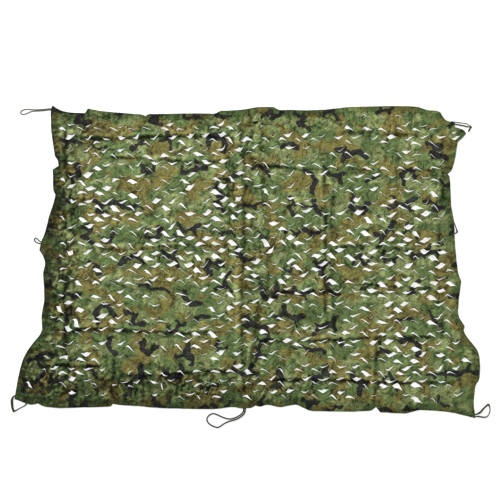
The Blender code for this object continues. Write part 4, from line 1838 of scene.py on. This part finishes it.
@dataclass
class TurnedEdge:
    """The cloth's edge where it is turned far under, coloured near black as painted shadow, seen through the
    slits over it.
    """

    hem: Hem
    finish: CordFinish
    left: float = -25.0
    right: float = 475.0
    outer: float = 6.0
    inner: float = 95.0
    wave: float = 5.0
    step: float = 20.0
    levels: Pair = (0.15, 0.5)

    def build(self) -> Object:
        """Builds the turned edge under the middle of the cloth's top.

        Returns:
            The finished piece.
        """
        top = self.hem.coarse[self.hem.coarse[:, 1] > 600.0]
        top = top[np.argsort(top[:, 0])]
        across = np.arange(self.left, self.right + 1.0, self.step)
        rim = np.interp(across, top[:, 0], top[:, 1])
        inner = rim - self.inner + self.wave * np.sin(across / 37.0)
        low, high = self.levels
        points = []
        for x, near, far in zip(across, rim - self.outer, inner):
            points += [(x, near, low), (x, far, low), (x, far, high), (x, near, high)]
        made = solid_from("turned_edge", np.array(points), skin(0, len(across), 4), 30.0)
        return settle(made, self.finish.material())


# ---- stitching and strings


@dataclass
class HemStitching:
    """The row of stitches that holds the turned hem down."""

    hem: Hem
    cloth: Object
    finish: CordFinish
    inset: float = 26.0
    pitch: float = 8.0
    length: float = 5.2
    half_width: float = 0.55
    rise: float = 0.45

    def build(self) -> Object:
        """Builds the stitches.

        Returns:
            The finished piece.
        """
        line = self.hem.fine + self.inset * self.hem.inward(self.hem.fine)
        line = line[self.hem.depth(line) > 0.93 * self.inset]
        run = np.linalg.norm(np.diff(line, axis=0), axis=1)
        travelled = np.concatenate(([0.0], np.cumsum(run)))
        surface = BVHTree.FromObject(self.cloth, bpy.context.evaluated_depsgraph_get())
        points, faces = [], []
        for place in np.arange(0.0, travelled[-1] - self.pitch, self.pitch):
            ends = [
                np.array([np.interp(place + shift, travelled, line[:, axis]) for axis in (0, 1)])
                for shift in (0.0, self.length)
            ]
            if np.linalg.norm(ends[1] - ends[0]) < 0.6 * self.length:
                continue
            tops = [self._on_top(surface, end) for end in ends]
            if all(top is not None for top in tops):
                self._stitch(points, faces, tops)
        made = solid_from("hem_stitching", np.array(points), faces, 60.0)
        return settle(made, self.finish.material())

    @staticmethod
    def _on_top(surface: BVHTree, place: Array) -> Array | None:
        """Finds the cloth's upper face over a place.

        Args:
            surface: The cloth's surface.
            place: The place's x and y.

        Returns:
            The point there, in millimetres, or none over a gap.
        """
        above, down = Vector((place[0] * MM, place[1] * MM, 1.0)), Vector((0.0, 0.0, -1.0))
        hit = surface.ray_cast(above, down)[0]
        return np.array((place[0], place[1], hit.z / MM)) if hit else None

    def _stitch(self, points: list[Array], faces: Faces, ends: list[Array]) -> None:
        """Adds one stitch: a short low ridge with pointed ends.

        Args:
            points: The points so far, to which its own are added.
            faces: The faces so far.
            ends: The stitch's two ends on the cloth.
        """
        start, end = ends
        along = end - start
        aside = np.array((-along[1], along[0], 0.0)) / max(np.linalg.norm(along[:2]), 1e-6)
        up = np.array((0.0, 0.0, 1.0))
        first = len(points)
        points.append(start)
        for share in (0.22, 0.78):
            middle = start + share * along
            points += [
                middle - self.half_width * aside,
                middle + self.rise * up,
                middle + self.half_width * aside,
                middle - self.rise * up,
            ]
        points.append(end)
        last = first + 9
        for k in range(4):
            a, b = first + 1 + k, first + 1 + (k + 1) % 4
            faces += [[first, a, b], [a, a + 4, b + 4, b], [last, b + 4, a + 4]]


@dataclass
class StringMesh:
    """The light mesh of fine strings under the cloth, on the surface that the net lies on."""

    hem: Hem
    finish: CordFinish
    pitch: float = 21.0
    slant: float = 38.0  # degrees from the net's long side, one way and the other
    radius: float = 0.35
    level: float = 0.45
    step: float = 32.0
    inset: float = 16.0
    waver: float = 4.5
    waver_length: float = 130.0
    reach: float = 1450.0  # more than the net's half diagonal
    corners: tuple[float, ...] = (math.pi / 2, math.pi * 7 / 6, math.pi * 11 / 6)

    def build(self) -> Object:
        """Builds the strings.

        Returns:
            The finished piece.
        """
        points, faces = [], []
        places = np.arange(-self.reach, self.reach, self.step)
        for number, slant in enumerate((self.slant, -self.slant)):
            turn, sway = math.radians(slant), Ripple(Seed.STRINGS + number)
            along = np.array((math.cos(turn), math.sin(turn)))
            aside = np.array((-math.sin(turn), math.cos(turn)))
            for offset in np.arange(-self.reach, self.reach, self.pitch):
                line = places[:, None] * along + offset * aside
                line = line + (self.waver * sway(*line.T, self.waver_length))[:, None] * aside
                inside = self.hem.depth(line) > self.inset
                for run in np.split(np.arange(len(line)), np.flatnonzero(np.diff(inside.astype(int))) + 1):
                    if inside[run[0]] and len(run) > 1:
                        faces += skin(len(points), len(run), len(self.corners))
                        points += self._string(line[run], aside)
        made = solid_from("string_mesh", np.array(points), faces, 180.0)
        return settle(made, self.finish.material())

    def _string(self, line: Array, aside: Array) -> list[Point]:
        """Works out one string's corners.

        Args:
            line: The points that it runs through.
            aside: The level direction across it.

        Returns:
            Its corners round each of those points.
        """
        corners = []
        for x, y in line:
            for turn in self.corners:
                out, up = self.radius * math.cos(turn), self.radius * math.sin(turn)
                corners.append((x + out * aside[0], y + out * aside[1], self.level + up))
        return corners


# ---- the cords


def smooth_route(cord: Cord, step: float) -> Array:
    """Draws a smooth curve through a cord's stops, with the cord lying on the floor.

    Args:
        cord: The cord.
        step: How far apart its points are.

    Returns:
        Rows of x, y, z and swell.
    """
    rows = np.array([(stop.x, stop.y, stop.swell) for stop in cord.stops])
    rows = np.vstack((2 * rows[0] - rows[1], rows, 2 * rows[-1] - rows[-2]))
    path = []
    for k in range(1, len(rows) - 2):
        before, start, end, after = rows[k - 1 : k + 3]
        pieces = max(1, round(np.linalg.norm(end[:2] - start[:2]) / step))
        for piece in range(pieces):
            t = piece / pieces
            path.append(
                start
                + 0.5 * t * (end - before)
                + t * t * (before - 2.5 * start + 2 * end - 0.5 * after)
                + t ** 3 * (1.5 * (start - end) + 0.5 * (after - before))
            )
    path.append(rows[-2])
    path = np.array(path)
    level = 0.5 * cord.diameter * path[:, 2] + CORD_CLEARANCE
    return np.column_stack((path[:, :2], level, path[:, 2]))


def frames_along(path: Array) -> tuple[Array, Array, Array]:
    """Works out directions along a path that don't twist.

    Args:
        path: Rows of x, y and z.

    Returns:
        At each point the direction onward and two directions across it.
    """
    onward = np.gradient(path, axis=0)
    onward /= np.linalg.norm(onward, axis=1)[:, None]
    side = np.cross((0.0, 0.0, 1.0), onward[0])
    sides = []
    for direction in onward:
        side = side - direction * (side @ direction)
        side = side / np.linalg.norm(side)
        sides.append(side)
    sides = np.array(sides)
    return onward, sides, np.cross(onward, sides)


def tube(path: Array, radii: Array) -> tuple[Array, Faces]:
    """Sweeps a closed tube along a path.

    Args:
        path: Rows of x, y and z.
        radii: For each point of the path, the tube's radius at each of its sides.

    Returns:
        Its points and its faces.
    """
    _, side, up = frames_along(path)
    sides = radii.shape[1]
    turns = np.linspace(0.0, 2.0 * math.pi, sides, endpoint=False)
    ring = side[:, None] * np.cos(turns)[None, :, None] + up[:, None] * np.sin(turns)[None, :, None]
    return (path[:, None] + ring * radii[..., None]).reshape(-1, 3), skin(0, len(path), sides)


@dataclass
class Knot:
    """The turns of cord drawn tight round a stop of a route, with a short nub."""

    name: str
    stop: int
    turns: float
    strand: float
    winding: float
    nub: Pair = (0.0, 0.0)

    def build(self, path: Array, place: Pair, finish: CordFinish) -> Object:
        """Builds the knot.

        Args:
            path: The cord's route, as rows of x, y and z.
            place: Where on it the knot lies.
            finish: Its finish.

        Returns:
            The finished piece.
        """
        at = int(np.linalg.norm(path[:, :2] - place, axis=1).argmin())
        onward, side, up = (directions[at] for directions in frames_along(path))
        t = np.linspace(-0.5, 0.5, int(18 * self.turns))
        angle = 2.0 * math.pi * self.turns * t
        winding = (
            path[at]
            + (1.9 * self.strand * self.turns * t)[:, None] * onward
            + self.winding * (np.cos(angle)[:, None] * side + np.sin(angle)[:, None] * up)
        )
        winding[:, 2] = np.maximum(winding[:, 2], self.strand + CORD_CLEARANCE)
        points, faces = tube(winding, np.full((len(winding), 8), self.strand))
        if any(self.nub):
            share = np.linspace(0.0, 1.0, 6)[:, None]
            run = np.array((*self.nub, 0.8 - path[at][2] + self.strand))
            more, _ = tube(path[at] + share * run, np.full((6, 8), self.strand))
            faces += skin(len(points), 6, 8)
            points = np.vstack((points, more))
        made = solid_from(self.name, points, faces, 70.0)
        return settle(made, finish.material())


@dataclass
class TwistedCord:
    """A thin cord of three strands twisted together, sewn into the hem at its root."""

    name: str
    hem: Hem
    finish: CordFinish
    far_end: str = "object"
    knot: Knot | None = None
    twist_pitch: float = 3.2
    lobes: int = 3
    lobe_depth: float = 0.07
    fullness: float = 1.1
    sides: int = 12
    step: float = 2.4
    route_step: float = 0.2
    sewn_in: float = 2.0

    def build(self) -> Object:
        """Builds the cord on its route.

        Returns:
            The finished piece.
        """
        cord = CORDS[self.name]
        route = smooth_route(cord, self.route_step)
        outside = np.flatnonzero(self.hem.depth(route[:, :2]) < self.sewn_in)
        route = route[outside[0] : outside[-1] + 1]
        run = np.linalg.norm(np.diff(route[:, :3], axis=0), axis=1)
        travelled = np.concatenate(([0.0], np.cumsum(run)))
        places = np.linspace(0.0, travelled[-1], round(travelled[-1] / self.step) + 1)
        rows = np.column_stack([np.interp(places, travelled, column) for column in route.T])
        path, swell = rows[:, :3], rows[:, 3]
        turns = np.linspace(0.0, 2.0 * math.pi, self.sides, endpoint=False)
        twist = 2.0 * math.pi * places / (self.twist_pitch * cord.diameter)
        lobed = 1.0 - self.lobe_depth * (1.0 - np.cos(self.lobes * (turns[None] - twist[:, None])))
        fullness = min(self.fullness, (0.65 * cord.diameter + 1.7) / (0.5 * cord.diameter * swell.max()))
        radii = 0.5 * cord.diameter * fullness * swell[:, None] * lobed
        if self.far_end == "knot":
            radii[-3:] *= np.array((1.0, 0.92, 0.7))[:, None]
        points, faces = tube(path, radii)
        made = solid_from(f"cord_{self.name}", points, faces, 70.0)
        settle(made, self.finish.material(), (self.name,))
        if self.knot:
            stop = cord.stops[self.knot.stop]
            self.knot.build(path, (stop.x, stop.y), self.finish)
        return made


# ---- the studio


@dataclass
class Studio:
    """The camera straight above the net, a pale floor and soft lights."""

    camera_height: float = 6.0
    sensor: float = 36.0
    floor_size: float = 40.0
    floor_drop: float = 0.0002  # how far the floor lies under the net
    key_place: Point = (-3.0, 4.4, 3.8)
    key_size: float = 2.6
    key_power: float = 430.0
    fill_place: Point = (3.0, -2.5, 4.5)
    fill_size: float = 3.0
    fill_power: float = 40.0
    air: Colour = (0.99, 1.0, 1.0, 1.0)
    air_light: float = 0.27

    def camera(self) -> None:
        """Places the camera straight above the net, framed as the net is seen."""
        data = bpy.data.cameras.new("camera")
        data.sensor_width = self.sensor
        data.lens = self.sensor * self.camera_height / (VIEW_WIDTH * MM)
        place = (VIEW_CENTRE[0] * MM, VIEW_CENTRE[1] * MM, self.camera_height)
        bpy.context.scene.camera = placed("camera", data, place)

    def floor(self) -> None:
        """Lays the floor just under the net."""
        bpy.ops.mesh.primitive_plane_add(size=self.floor_size, location=(0.0, 0.0, -self.floor_drop))
        floor = bpy.context.object
        floor.name = "studio_floor"
        bpy.ops.object.transform_apply(location=True, rotation=True, scale=True)
        floor.data.materials.append(FloorFinish().material())

    def lights(self) -> None:
        """Hangs the lights and lights the room."""
        self._softbox("key_light", self.key_place, self.key_size, self.key_power)
        self._softbox("fill_light", self.fill_place, self.fill_size, self.fill_power)
        world = bpy.data.worlds.new("studio_air")
        world.use_nodes = True
        air = world.node_tree.nodes["Background"]
        air.inputs["Color"].default_value = self.air
        air.inputs["Strength"].default_value = self.air_light
        bpy.context.scene.world = world

    @staticmethod
    def _softbox(name: str, place: Point, size: float, power: float) -> None:
        """Hangs one square light that faces the net.

        Args:
            name: Its name.
            place: Where it hangs.
            size: Its side.
            power: Its power in watts.
        """
        data = bpy.data.lights.new(name, "AREA")
        data.size = size
        data.energy = power
        lamp = placed(name, data, place)
        lamp.rotation_euler = (-Vector(place)).to_track_quat("-Z", "Y").to_euler()


def cord_roots(hem: Hem) -> Array:
    """Finds where the cords are sewn in.

    Args:
        hem: The hem.

    Returns:
        The places in the hem, as rows of x and y.
    """
    ends = np.array([(cord.stops[end].x, cord.stops[end].y) for cord in CORDS.values() for end in (0, -1)])
    return ends[hem.depth(ends) > 0.0]


def build_cords(hem: Hem, finish: CordFinish) -> None:
    """Builds every cord.

    Args:
        hem: The hem that they are sewn into.
        finish: Their finish.
    """
    knots = {
        "strand_top_right_upper": Knot("knot_top_right", 6, 2.4, 2.0, 4.2, (8.0, 0.5)),
        "loop_right": Knot("knot_right", 4, 2.4, 1.75, 3.0),
        "loop_bottom_left": Knot("knot_bottom_left", 6, 2.4, 2.2, 4.6),
        "loop_bottom_right": Knot("knot_bottom_right", 7, 2.2, 1.9, 3.4),
    }
    for name in CORDS:
        far_end = "knot" if name == "strand_top_right_upper" else "object"
        TwistedCord(name, hem, finish, far_end, knots.get(name)).build()


def main() -> None:
    """Builds the net and its studio, and works out the area inside the hem."""
    logging.basicConfig(level=logging.INFO, format="%(message)s")
    bpy.ops.object.select_all(action="DESELECT")
    studio = Studio()
    studio.camera()
    effects = Effects()
    hem = Hem()
    build_cords(hem, CordFinish(effects, "twisted_cord"))
    cloth = NetCloth(hem, Relief(hem, cord_roots(hem)), CamouflageFinish(effects)).build()
    stitching = HemStitching(hem, cloth, CordFinish(effects, "sewing_thread", THREAD)).build()
    strings = StringMesh(hem, CordFinish(effects, "fine_string", STRING)).build()
    turned = TurnedEdge(hem, CordFinish(effects, "shadowed_turned_cloth", TURNED_CLOTH_IN_SHADOW)).build()
    area = area_inside(hem.coarse)
    studio.floor()
    studio.lights()
    bpy.context.scene.view_settings.view_transform = "Standard"


if __name__ == "__main__":
    main()
